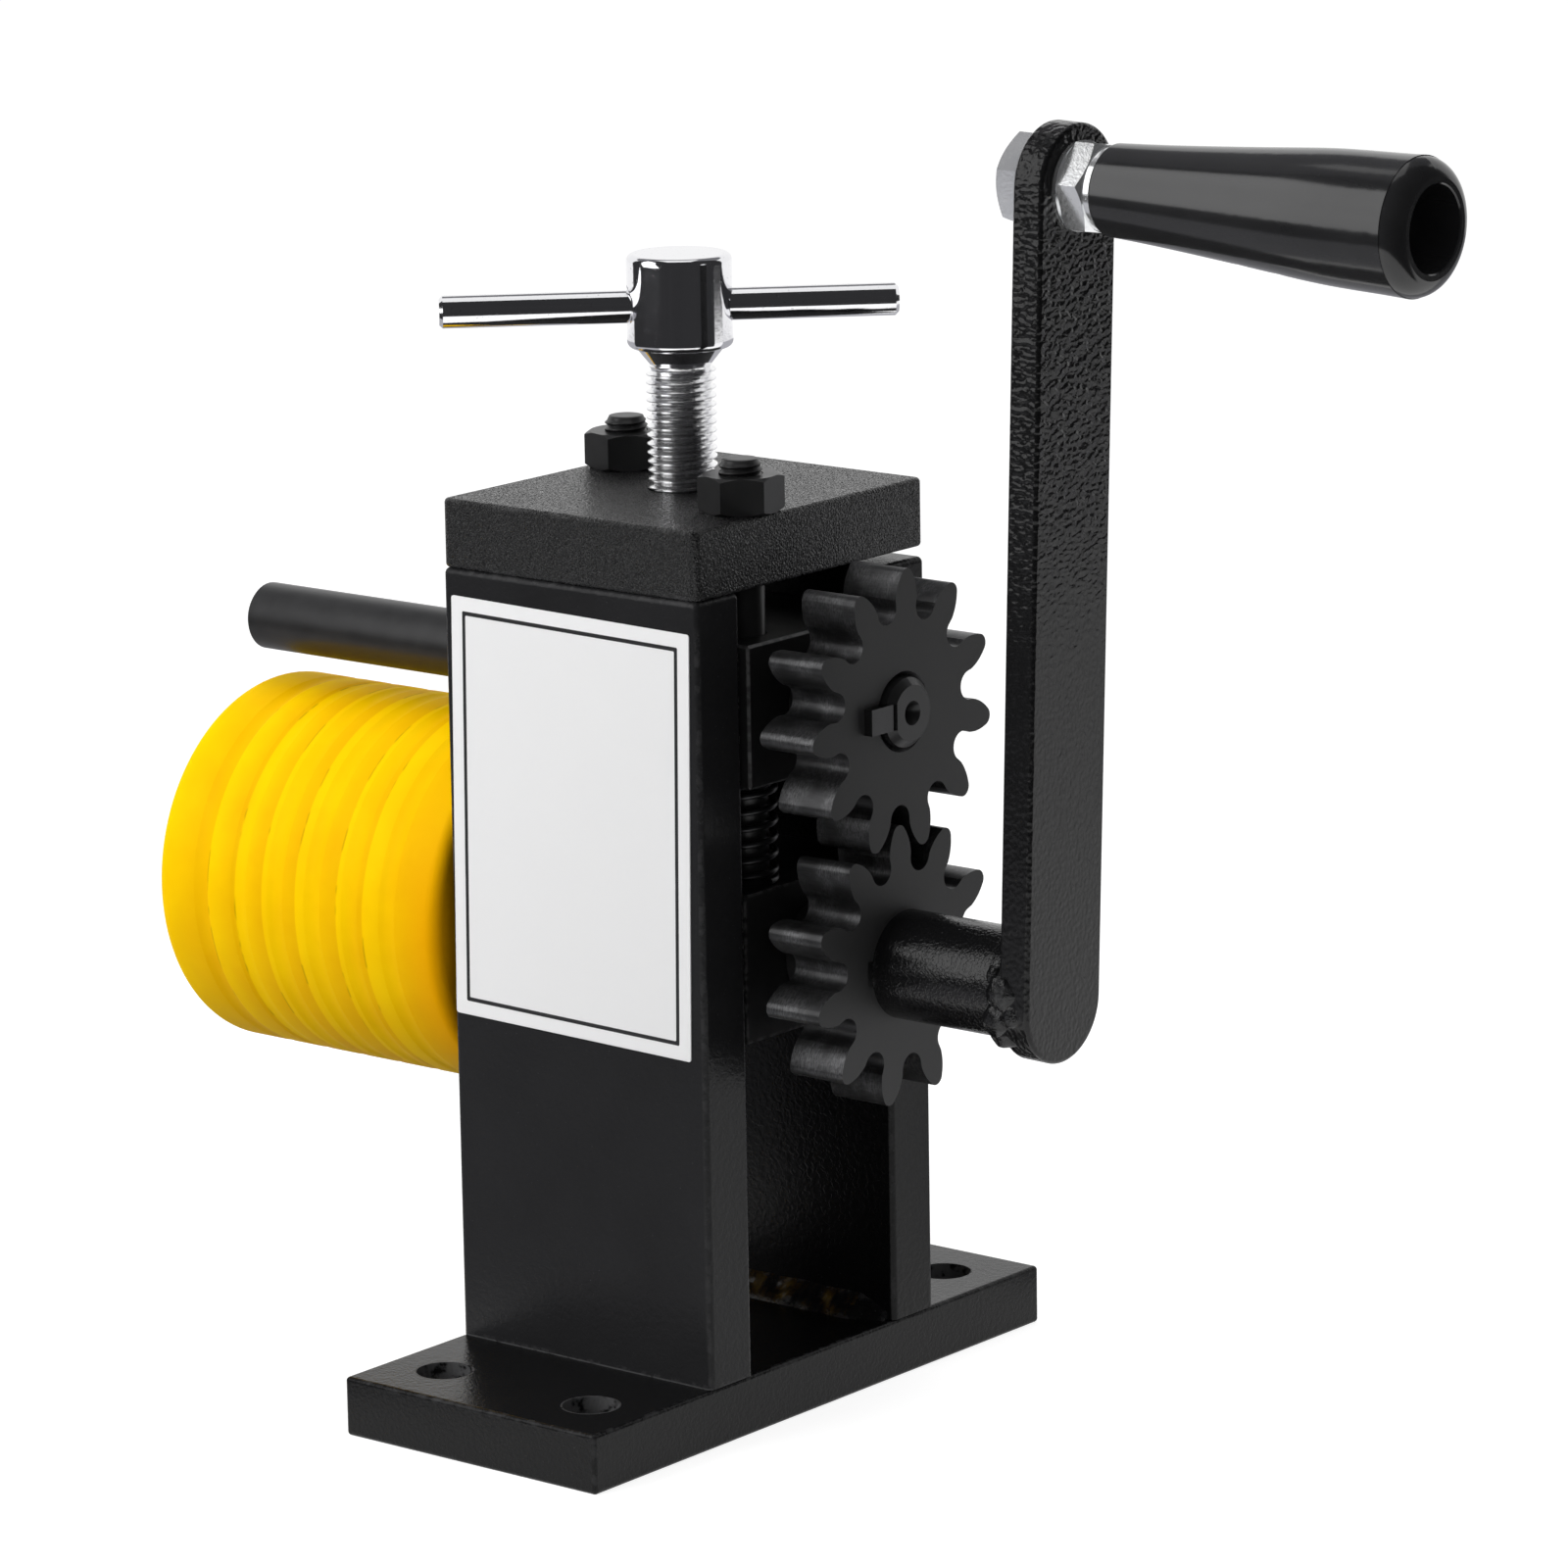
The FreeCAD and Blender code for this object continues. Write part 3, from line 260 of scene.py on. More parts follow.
class PressColours(bpy.types.PropertyGroup):
    """Base colours of the finishes."""

    paint: colour("Paint", "Black powder coat of the frame and the crank", (0.0062, 0.0062, 0.0066))
    blackened: colour("Blackened steel", "Oxide on blocks, rods and nuts", (0.014, 0.014, 0.0145))
    gear: colour("Gear faces", "Blackened faces of the gears", (0.020, 0.020, 0.0205))
    cut_steel: colour("Cut steel", "Tooth flanks", (0.105, 0.105, 0.108))
    turned_steel: colour("Turned steel", "Roller core, washers and keys", (0.45, 0.45, 0.46))
    chrome: colour("Chrome", "Pressure screw and tommy bar", (0.83, 0.83, 0.85))
    zinc: colour("Zinc", "Bolt, nuts and washers", (0.86, 0.88, 0.91))
    urethane: colour("Urethane", "Tyre of the large roller", (0.98, 0.61, 0.0))
    # Colour of the painted shading on the dark side of each turned rib.
    urethane_rib_shade: colour("Deep urethane", "Darker side of each turned band", (0.86, 0.45, 0.0))
    # Colour of the painted shade on the tyre beside the frame.
    urethane_painted_shade: colour("Shaded urethane", "Tyre's tone beside the frame", (0.86, 0.34, 0.0))
    plastic: colour("Grip plastic", "Moulded grip", (0.017, 0.017, 0.018))
    label: colour("Label", "Bare label plate", (0.865, 0.865, 0.87))
    label_line: colour("Label line", "Frame line on the label plate", (0.012, 0.012, 0.013))


class PressStudio(bpy.types.PropertyGroup):
    """Lamps, room light and lens."""

    key: bpy.props.FloatProperty(name="Key lamp", default=4.2, min=0.0,
                                 description="Radiance of the soft lamp at the front left")
    top: bpy.props.FloatProperty(name="Top lamp", default=1.5, min=0.0,
                                 description="Radiance of the soft lamp above")
    room: bpy.props.FloatProperty(name="Room light", default=0.55, min=0.0,
                                  description="Even light from all round")
    lens: bpy.props.FloatProperty(name="Lens", default=166.2255, min=1.0, unit="CAMERA",
                                  description="Focal length of the camera")


# ---- Shader building ---------------------------------------------------------------------

class Term:
    """A socket in an expression: arithmetic on it adds the Math nodes."""

    def __init__(self, finish, socket):
        self.finish = finish
        self.socket = socket

    def _math(self, operation, *values):
        sockets = dict(enumerate(values))
        return self.finish.add("ShaderNodeMath", {"operation": operation}, sockets)

    def __add__(self, other):
        return self._math("ADD", self, other)

    def __radd__(self, other):
        return self._math("ADD", other, self)

    def __sub__(self, other):
        return self._math("SUBTRACT", self, other)

    def __rsub__(self, other):
        return self._math("SUBTRACT", other, self)

    def __mul__(self, other):
        return self._math("MULTIPLY", self, other)

    def __rmul__(self, other):
        return self._math("MULTIPLY", other, self)

    def __truediv__(self, other):
        return self._math("DIVIDE", self, other)

    def __rtruediv__(self, other):
        return self._math("DIVIDE", other, self)

    def size(self):
        """Value without its sign."""
        return self._math("ABSOLUTE", self)

    def least(self, other):
        """Smaller of two values."""
        return self._math("MINIMUM", self, other)

    def most(self, other):
        """Larger of two values."""
        return self._math("MAXIMUM", self, other)

    def root(self):
        """Square root."""
        return self._math("SQRT", self)

    def between(self, low, high):
        """0 below low, 1 above high, and a smooth step between them."""
        return self.finish.add("ShaderNodeMapRange", {"interpolation_type": "SMOOTHSTEP"},
                               {"Value": self, "From Min": low, "From Max": high})


class Finish:
    """A node tree while it is built: add() makes one node, and surface() ends the tree."""

    def __init__(self, name, kind="materials", output="ShaderNodeOutputMaterial"):
        self.owner = getattr(bpy.data, kind).new(name)
        self.owner.use_nodes = True
        self.output = output
        self.tree = self.owner.node_tree
        self.tree.nodes.clear()

    def add(self, kind, settings=None, sockets=None, output=0):
        """One node: its settings first, then the values and links of its sockets."""
        node = self.tree.nodes.new(kind)
        for key, value in (settings or {}).items():
            setattr(node, key, value)
        for key, value in (sockets or {}).items():
            if isinstance(value, Term):
                self.tree.links.new(value.socket, node.inputs[key])
            else:
                node.inputs[key].default_value = value
        return Term(self, node.outputs[output]) if node.outputs else None

    def outputs(self, term, *names):
        """The named outputs of a term's node, or all of them."""
        sockets = term.socket.node.outputs
        return [Term(self, sockets[name]) for name in names or sockets.keys()]

    def place(self, stretch=(1.0, 1.0, 1.0)):
        """Position on the piece in millimetres, stretched along the axes."""
        where = self.add("ShaderNodeTexCoord", output="Object")
        factors = tuple(factor / MM for factor in stretch)
        return self.add("ShaderNodeVectorMath", {"operation": "MULTIPLY"}, {0: where, 1: factors})

    def axes(self, vector):
        """The three components of a vector."""
        return self.outputs(self.add("ShaderNodeSeparateXYZ", sockets={0: vector}))

    def facing(self):
        """Components of the surface's direction in the piece's own frame."""
        return self.axes(self.add("ShaderNodeTexCoord", output="Normal"))

    def seen(self):
        """1 for what the camera sees straight, mirrored or through glass, and 0 for light on a piece."""
        path = self.add("ShaderNodeLightPath")
        names = ("Is Camera Ray", "Is Glossy Ray", "Is Transmission Ray")
        camera, glossy, through = self.outputs(path, *names)
        return camera.most(glossy).most(through)

    def noise(self, where, cell, detail=3.0, roughness=0.55, distortion=0.0):
        """Soft noise with cells of about a size in millimetres, from 0 to 1."""
        sockets = {"Vector": where, "Scale": 1.0 / cell, "Detail": detail, "Roughness": roughness,
                   "Distortion": distortion}
        return self.add("ShaderNodeTexNoise", {}, sockets)

    def cells(self, where, cell):
        """Soft distance to the nearest of cell centres that lie about a size in millimetres apart."""
        sockets = {"Vector": where, "Scale": 1.0 / cell}
        return self.add("ShaderNodeTexVoronoi", {"feature": "SMOOTH_F1"}, sockets)

    def blend(self, factor, first, second):
        """Mix of two colours."""
        sockets = {"Factor": factor}
        for key, value in ((6, first), (7, second)):
            sockets[key] = value if isinstance(value, Term) else (*value, 1.0)
        return self.add("ShaderNodeMix", {"data_type": "RGBA"}, sockets, output=2)

    def bump(self, height, depth):
        """Normal of a height from 0 to 1 that stands for a depth in millimetres."""
        sockets = {"Height": height, "Distance": depth * MM, "Strength": 1.0}
        return self.add("ShaderNodeBump", {}, sockets)

    def shader(self, **sockets):
        """Principled shader with some of its sockets set; _ stands for a space in their names."""
        named = {}
        for key, value in sockets.items():
            if isinstance(value, tuple) and len(value) == 3:
                value = (*value, 1.0)
            named[key.replace("_", " ")] = value
        return self.add("ShaderNodeBsdfPrincipled", {}, named)

    def surface(self, shader):
        """End the tree in a shader, and hand over the material or world that it belongs to."""
        self.add(self.output, {}, {"Surface": shader})
        return self.owner


def edge_distance(finish, node):
    """Distance in millimetres from a point on a block-shaped node to its nearest edge."""
    low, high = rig.box(node)
    walls = []
    for index, axis in enumerate(finish.axes(finish.place())):
        middle = (low[index] + high[index]) / 2 / MM
        half = (high[index] - low[index]) / 2 / MM
        walls.append(half - (axis - middle).size())
    first, second, third = walls
    return first.least(second).most(first.most(second).least(third))


def worn_edges(finish, node, full, none, cell=3.0, ragged=(0.42, 0.72)):
    """Where a finish has worn off in patches: all within one distance of an edge, none past another."""
    near = 1.0 - edge_distance(finish, node).between(full, none)
    return near * finish.noise(finish.place(), cell).between(*ragged)


# ---- Finishes ----------------------------------------------------------------------------

def tint(value, factor):
    """Colour scaled by a factor."""
    return tuple(min(1.0, channel * factor) for channel in value)


def powder_coat(name, node, paint, cell, depth, gloss, tone=1.0, mirror=0.3, sparkle=0.0, bare=None):
    """Black powder coat with a leather grain, thinner and greyer along the node's edges.

    Cell and depth are the grain's, in millimetres. Tone scales the paint; where it differs between
    plates it is painted light and shade. Sparkle is the strength of its fine sand, which also paints
    glints into the colour. Bare gives the distance to a painted highlight line, from the finish.
    """
    finish = Finish(name)
    paint = tint(paint, tone)
    where = finish.place()
    grain = finish.noise(where, cell, detail=2.0, roughness=0.5, distortion=0.6)
    folds = finish.cells(where, cell * 1.7)
    fine = finish.noise(where, cell * 0.28, detail=2.0)
    height = grain.between(0.32, 0.68) * 0.55 + folds * 0.4 + fine * 0.12
    patches = finish.noise(where, cell=24.0, detail=2.0)
    worn = worn_edges(finish, node, full=0.2, none=1.5) * 0.45
    # Painted highlight: a pale line along the rims or the foot that bare gives, mixed in with the real edge wear.
    if bare:
        line = 1.0 - bare(finish).size().between(0.15, 0.5)
        worn = worn.most(line * finish.noise(where, cell=2.5).between(0.35, 0.5))
    body = finish.blend(patches, tint(paint, 0.8), tint(paint, 1.25))
    # Pale specks in the coat; with sparkle, also painted glints where the fine sand is lightened in the colour.
    specks_and_glints = finish.noise(where, cell=0.45, detail=1.0).between(0.73, 0.80) * 0.35
    if sparkle:
        sand = finish.noise(where, cell=0.55, detail=1.5)
        specks_and_glints = specks_and_glints.most(sand.between(0.58, 0.75) * 0.10 * sparkle)
        height = height * 0.4 + sand.between(0.3, 0.7) * sparkle
        gloss = finish.noise(where, cell=0.42, detail=1.0).between(0.47, 0.60) * 0.45 + gloss
    body = finish.blend(specks_and_glints, body, SPECK_AND_GLINT)
    body = finish.blend(worn, body, WORN_COAT_AND_HIGHLIGHT)
    rough = gloss + patches * 0.08 + worn * 0.3 + fine * 0.05
    return finish.surface(finish.shader(Base_Color=body, Roughness=rough, IOR=1.5,
                                        Specular_IOR_Level=mirror, Normal=finish.bump(height, depth)))


def hole_rim_highlights(finish):
    """Distance in millimetres to the rims of the base's four bench holes, where a highlight line is painted."""
    along, across, _ = finish.axes(finish.place())
    off_x = along.size() - HOLE_SPACING[0] / 2
    off_y = across.size() - HOLE_SPACING[1] / 2
    return (off_x * off_x + off_y * off_y).root() - HOLE_RADIUS


def foot_highlight_line(finish):
    """Distance in millimetres to the level of the front upright's foot, where a highlight line is painted."""
    return finish.axes(finish.place())[2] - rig.box("front_upright")[0].z / MM


# Coats of the frame's plates. Their tones are painted light and shade: the front upright's paint is made lighter and
# the top plate's darker than the others. The bare entries give where a highlight line is painted.
FRAME_COATS = {
    "base_plate": {"tone": 0.9, "cell": 0.9, "depth": 0.05, "gloss": 0.18, "mirror": 0.155,
                   "bare": hole_rim_highlights},
    "front_upright": {"tone": 2.5, "cell": 1.2, "depth": 0.055, "gloss": 0.18, "mirror": 0.14,
                      "bare": foot_highlight_line},
    "back_upright": {"tone": 0.9, "cell": 1.3, "depth": 0.06, "gloss": 0.18, "mirror": 0.145},
    "top_plate": {"tone": 0.6, "cell": 0.9, "depth": 0.17, "gloss": 0.10, "mirror": 0.48,
                  "sparkle": 1.2},
}


def leather_coat(name, node, paint):
    """Heavy wrinkled coat of the crank's arm, coarse near the handle and finer towards the hub."""
    finish = Finish(name)
    where = finish.place()
    high = finish.axes(where)[2].between(*GRAIN_LEVELS)
    coarse = finish.noise(finish.place((0.8, 0.8, 1.25)), cell=1.35, detail=0.5, roughness=0.3,
                          distortion=0.3)
    close = finish.noise(finish.place((0.9, 0.9, 0.8)), cell=0.9, detail=0.5, roughness=0.3,
                         distortion=0.2)
    height = high * coarse + (1.0 - high) * close * 0.28
    patches = finish.noise(where, cell=22.0, detail=2.0)
    worn = worn_edges(finish, node, full=0.2, none=1.4)
    body = finish.blend(patches, tint(paint, 0.8), tint(paint, 1.3))
    body = finish.blend(worn * 0.4, body, WORN_ARM)
    rough = patches * 0.10 + worn * 0.15 + 0.17
    return finish.surface(finish.shader(Base_Color=body, Roughness=rough, IOR=1.5,
                                        Specular_IOR_Level=0.29, Normal=finish.bump(height, depth=0.46)))


def blackened_steel(name, base, gloss, metal, node=None, lines=(1.0, 1.0, 1.0), mirror=0.5):
    """Oxide-blackened steel with faint machining lines, and bright worn edges where a node is given."""
    finish = Finish(name)
    cloud = finish.noise(finish.place(), cell=6.0, detail=4.0, roughness=0.6)
    drawn = finish.noise(finish.place(lines), cell=0.5, roughness=0.6)
    body = finish.blend(cloud, tint(base, 0.7), tint(base, 1.5))
    rough = gloss + cloud * 0.10 + drawn * 0.06
    if node:
        worn = worn_edges(finish, node, full=0.15, none=1.0, cell=2.2, ragged=(0.4, 0.6))
        body = finish.blend(worn * 0.5, body, WORN_OXIDE)
    height = drawn * 0.7 + cloud * 0.3
    normal = finish.bump(height, depth=0.015)
    return finish.surface(finish.shader(Base_Color=body, Roughness=rough, Metallic=metal,
                                        Specular_IOR_Level=mirror, Normal=normal))


def gear_steel(name, colours):
    """Gear: flat blackened faces, and cut flanks with satin marks across the teeth."""
    finish = Finish(name)
    where = finish.place()
    face = finish.facing()[0].size().between(0.7, 0.95)
    cloud = finish.noise(where, cell=9.0, detail=4.0, roughness=0.6)
    marks = finish.noise(finish.place((0.12, 1.0, 1.0)), cell=0.35, roughness=0.65)
    pits = finish.noise(where, cell=0.9)
    hatch = finish.noise(finish.place((1.6, 0.5, 0.5)), cell=0.5, roughness=0.65).between(0.3, 0.7)
    rubbed = finish.noise(where, cell=7.0, detail=2.0).between(0.35, 0.65)
    bare = rubbed * 0.6 * hatch + marks * 0.3
    flank = finish.blend(bare, tint(colours.cut_steel, 0.25), tint(colours.cut_steel, 1.5))
    dark = finish.blend(cloud, tint(colours.gear, 0.85), tint(colours.gear, 1.2))
    body = finish.blend(face, flank, dark)
    rough = face * 0.17 + marks * 0.12 + cloud * 0.05 + 0.30
    height = (1.0 - face) * marks * 0.8 + pits * 0.2
    return finish.surface(finish.shader(Base_Color=body, Roughness=rough, Metallic=(1.0 - face) * 0.85,
                                        Normal=finish.bump(height, depth=0.03)))


def bright_steel(name, base, gloss, cell, depth, metal=1.0, mottle=0.12):
    """Bare or plated bright metal with slight mottling and fine marks of a size and depth."""
    finish = Finish(name)
    where = finish.place()
    cloud = finish.noise(where, cell * 8.0)
    marks = finish.noise(where, cell, roughness=0.6)
    pits = finish.noise(where, cell * 0.6, detail=1.0).between(0.70, 0.76)
    body = finish.blend(cloud, tint(base, 1.0 - mottle), tint(base, 1.0 + mottle))
    body = finish.blend(pits * 0.4, body, tint(base, 0.35))
    rough = gloss + cloud * 0.05 + marks * 0.04 + pits * 0.15
    return finish.surface(finish.shader(Base_Color=body, Roughness=rough, Metallic=metal,
                                        Normal=finish.bump(marks - pits * 0.5, depth)))


def cast_urethane(name, colours):
    """Yellow urethane turned on a lathe, with painted shading: each band starts pale at a cut line and darkens as
    painted shading of a shallow rib, and the tyre is painted darker beside the frame.
    """
    finish = Finish(name)
    where = finish.place()
    along, _, level = finish.axes(where)
    low, high = (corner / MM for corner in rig.box("roller_tyre"))
    cloud = finish.noise(where, cell=16.0)
    wander = finish.noise(finish.place((1.0, 0.012, 0.012)), cell=9.0, detail=1.0)
    spot = along - low[0] + wander * 1.4 + cloud * 0.5
    band, cut = spot / TYRE_BANDS[0], 0.0
    for start, end in zip(TYRE_BANDS, TYRE_BANDS[1:]):
        past = spot.between(start - 0.25, start + 0.25)
        band = (1.0 - past) * band + past * (spot - start) / (end - start)
        cut = (1.0 - (spot - start).size().between(0.1, 0.4)) + cut
    # Painted shading of the shallow turned ribs, with some random cloud in the tone: each band goes from pale at its
    # cut line to darker.
    rib_shade = band.between(0.05, 1.0) * 0.75 + cloud.between(0.35, 0.7) * 0.25
    turning = finish.noise(finish.place((1.0, 0.02, 0.02)), cell=0.9, detail=4.0, roughness=0.6)
    broken = finish.noise(finish.place((0.15, 0.10, 0.10)), cell=1.0, detail=2.0).between(0.54, 0.62)
    cut = cut * broken
    nicks = finish.noise(finish.place((2.2, 0.16, 0.16)), cell=1.6, detail=2.0).between(0.75, 0.80)
    body = finish.blend(rib_shade, colours.urethane, colours.urethane_rib_shade)
    body = finish.blend(cut.most(nicks * 0.6) * 0.36, body, CUT_LINE)
    # Painted shade: the tyre is painted darker and browner beside the frame and low down, where the upright shades it.
    beside = (along - high[0] + 14.0).between(0.0, 13.0)
    low_down = 1.0 - (level - (low[2] + high[2]) / 2).between(-4.0, 34.0)
    body = finish.blend(beside * low_down * 0.55, body, colours.urethane_painted_shade)
    rough = turning * 0.12 + cloud * 0.08 + nicks * 0.2 + 0.42
    height = turning * 0.6 - nicks * 0.5 - cut * 0.4
    return finish.surface(finish.shader(Base_Color=body, Roughness=rough, IOR=1.45,
                                        Specular_IOR_Level=0.02, Normal=finish.bump(height, depth=0.04)))


def grip_plastic(name, base):
    """Glossy black moulding, with slight sink waves, handling scuffs and dust."""
    finish = Finish(name)
    waves = finish.noise(finish.place((0.5, 1.0, 1.0)), cell=7.0, detail=2.0)
    scuffs = finish.noise(finish.place((0.2, 1.0, 1.0)), cell=0.8).between(0.66, 0.74)
    dust = finish.noise(finish.place(), cell=0.5, detail=1.0).between(0.74, 0.79)
    body = finish.blend(waves, tint(base, 0.8), tint(base, 1.3))
    body = finish.blend(dust * 0.15, body, DUST)
    rough = waves * 0.05 + scuffs * 0.08 + dust * 0.1 + 0.12
    return finish.surface(finish.shader(Base_Color=body, Roughness=rough, IOR=1.5,
                                        Specular_IOR_Level=0.5, Normal=finish.bump(waves, depth=0.02)))


def label_vinyl(name, base):
    """Vinyl of the bare label plate, a little uneven in tone and grain."""
    finish = Finish(name)
    where = finish.place()
    tone = finish.noise(where, cell=30.0)
    grain = finish.noise(where, cell=0.5, detail=2.0)
    body = finish.blend(tone * 0.6 + grain * 0.1, base, tint(base, 0.94))
    rough = tone * 0.08 + grain * 0.06 + 0.34
    height = grain * 0.4 + tone * 0.6
    return finish.surface(finish.shader(Base_Color=body, Roughness=rough,
                                        Normal=finish.bump(height, depth=0.03)))


def finish_nodes(material, slot, *names):
    """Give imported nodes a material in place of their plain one."""
    for name in names:
        node = frame["nodes"][name]
        node.data.materials.clear()
        node.data.materials.append(material)
        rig.slot(node, slot)


# ---- Mesh building -----------------------------------------------------------------------

def new_piece(name, mesh_parts, materials, body, slot, stands_for=(), sharp=35.0):
    """Object from a bmesh, with its finishes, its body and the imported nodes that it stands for.

    A piece that blends between two bodies has none of its own. Edges sharper than an angle in
    degrees stay sharp.
    """
    mesh = bpy.data.meshes.new(name)
    bmesh.ops.recalc_face_normals(mesh_parts, faces=mesh_parts.faces)
    mesh_parts.to_mesh(mesh)
    mesh_parts.free()
    for polygon in mesh.polygons:
        polygon.use_smooth = True
    mesh.set_sharp_from_angle(angle=math.radians(sharp))
    for material in materials:
        mesh.materials.append(material)
    piece = bpy.data.objects.new(name, mesh)
    bpy.context.scene.collection.objects.link(piece)
    if body:
        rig.ride(piece, body)
    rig.slot(piece, slot)
    if stands_for:
        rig.replaces(piece, *stands_for)
    return piece


def skin(parts, rings, closed_rows=False):
    """Faces between consecutive rings of vertices; a ring of one vertex is a tip."""
    pairs = list(zip(rings, rings[1:]))
    if closed_rows:
        pairs.append((rings[-1], rings[0]))
    for first, second in pairs:
        count = max(len(first), len(second))
        for step in range(count):
            after = (step + 1) % count
            corners = [first[step % len(first)], first[after % len(first)],
                       second[after % len(second)], second[step % len(second)]]
            face = list(dict.fromkeys(corners))
            if len(face) > 2:
                parts.faces.new(face)


def lathe_rings(parts, centre, outline, steps):
    """Rings about an upright axis; the outline is (height, radius) pairs from the bottom up."""
    rings = []
    for level, radius in outline:
        if radius == 0:
            rings.append([parts.verts.new((centre[0], centre[1], level))])
            continue
        rings.append([parts.verts.new((centre[0] + radius * math.cos(2 * math.pi * step / steps),
                                       centre[1] + radius * math.sin(2 * math.pi * step / steps), level))
                      for step in range(steps)])
    return rings


def rounded(level, radius, size, turn):
    """Points of a quarter round at a lathe outline's outer edge; turn is 1 going up, -1 at the top."""
    steps = 6
    points = []
    for step in range(steps + 1):
        angle = math.pi / 2 * step / steps
        rise, inset = size * (1 - math.sin(angle)), size * (1 - math.cos(angle))
        points.append((level + turn * rise, radius - inset))
    return points[::-1] if turn > 0 else points


def thread_rows(parts, centre, low, high, radius, depth, pitch, necks, steps):
    """Right-handed thread between two levels that runs out into a neck's radius at each end."""
    count = len(THREAD_TURN)
    turns = int((high - low) / pitch) + 3
    columns = []
    for step in range(steps):
        angle = 2 * math.pi * step / steps
        column = []
        for row in range(turns * count):
            rise, fall = THREAD_TURN[row % count]
            level = low + pitch * (step / steps + row // count + rise - 1.0)
            level = min(max(level, low), high)
            out = min(radius - depth * fall, necks[0] + (level - low), necks[1] + (high - level))
            column.append(parts.verts.new((centre[0] + out * math.cos(angle),
                                           centre[1] + out * math.sin(angle), level)))
        columns.append(column)
    for step in range(steps):
        here = columns[step]
        there = columns[(step + 1) % steps]
        shift = count if step == steps - 1 else 0
        for row in range(len(here) - 1 - shift):
            parts.faces.new((here[row], there[row + shift], there[row + shift + 1], here[row + 1]))


def weld_together(parts):
    """Join the vertices that lie on each other."""
    bmesh.ops.remove_doubles(parts, verts=parts.verts, dist=1e-6)


# ---- Pieces ------------------------------------------------------------------------------

def threaded_screw(sizes, parts):
    """Pressure screw: tip, thread, coned neck and a head whose bar hole has a softened mouth."""
    steps, head_rows = 160, 40
    centre = (0.0, 0.0)
    node_low, node_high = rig.box("pressure_screw")
    tip, crown = node_low.z, node_high.z
    head_radius = (node_high.x - node_low.x) / 2
    size = sizes.head_round
    point = [(tip, 0), (tip, TIP_RADIUS - TIP_BEVEL), (tip + TIP_BEVEL, TIP_RADIUS),
             (THREAD_LEVEL, TIP_RADIUS), (THREAD_LEVEL, RUNOUT_RADIUS)]
    skin(parts, lathe_rings(parts, centre, point, steps))
    plain = set(parts.faces)
    thread_rows(parts, centre, THREAD_LEVEL, CONE_LEVEL, THREAD_RADIUS, sizes.screw_depth,
                sizes.screw_pitch, (RUNOUT_RADIUS, NECK_RADIUS), steps)
    for face in set(parts.faces) - plain:
        face.material_index = 1
    straight = crown - HEAD_LEVEL - 2 * size
    side = [(HEAD_LEVEL + size + straight * step / head_rows, head_radius)
            for step in range(1, head_rows)]
    top = [(crown, (head_radius - size) * share) for share in (0.97, 0.6, 0)]
    outline = [(CONE_LEVEL, NECK_RADIUS), (HEAD_LEVEL, head_radius - size - HEAD_STEP),
               *rounded(HEAD_LEVEL, head_radius, size, 1), *side,
               *rounded(crown, head_radius, size, -1), *top]
    rings = lathe_rings(parts, centre, outline, steps)
    skin(parts, rings)
    soften_bar_hole(sizes, rings)
    weld_together(parts)


def soften_bar_hole(sizes, rings):
    """Sink the head's surface round the tommy bar, as the mouth of its hole."""
    bar_low, bar_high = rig.box("tommy_bar")
    level = (bar_low.z + bar_high.z) / 2
    radius = (bar_high.z - bar_low.z) / 2
    run = Vector((bar_high.x - bar_low.x, bar_high.y - bar_low.y, 0)).normalized()
    mouth = sizes.bar_hole_round
    for ring in rings:
        for vertex in ring:
            spot = Vector((vertex.co.x, vertex.co.y, 0))
            if spot.length < HEAD_CORE:
                continue
            across = (spot - run * spot.dot(run)).length
            away = math.hypot(across, vertex.co.z - level) - radius
            if away < mouth:
                share = min(1.0, (mouth - away) / mouth)
                spot.length -= mouth * (1 - math.sqrt(max(0.0, 1 - share * share)))
                vertex.co.x, vertex.co.y = spot.x, spot.y


def threaded_stud(sizes, parts, node):
    """Tie rod with the thread that shows above its nut."""
    steps = 72
    low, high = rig.box(node)
    centre = ((low.x + high.x) / 2, (low.y + high.y) / 2)
    radius = (high.x - low.x) / 2
    neck = radius - sizes.stud_depth
    point = [(high.z - down, neck - inset) for down, inset in STUD_POINT]
    start, (end, end_neck) = high.z - STUD_THREAD, point[0]
    shank = [(low.z, 0), (low.z, radius - STUD_BEVEL), (low.z + STUD_BEVEL, radius),
             (start - STUD_RUNOUT, radius), (start, neck)]
    skin(parts, lathe_rings(parts, centre, shank, steps))
    thread_rows(parts, centre, start, end, radius, sizes.stud_depth, sizes.stud_pitch,
                (neck, end_neck), steps)
    skin(parts, lathe_rings(parts, centre, [*point, (high.z, neck / 2), (high.z, 0)], steps))
    weld_together(parts)


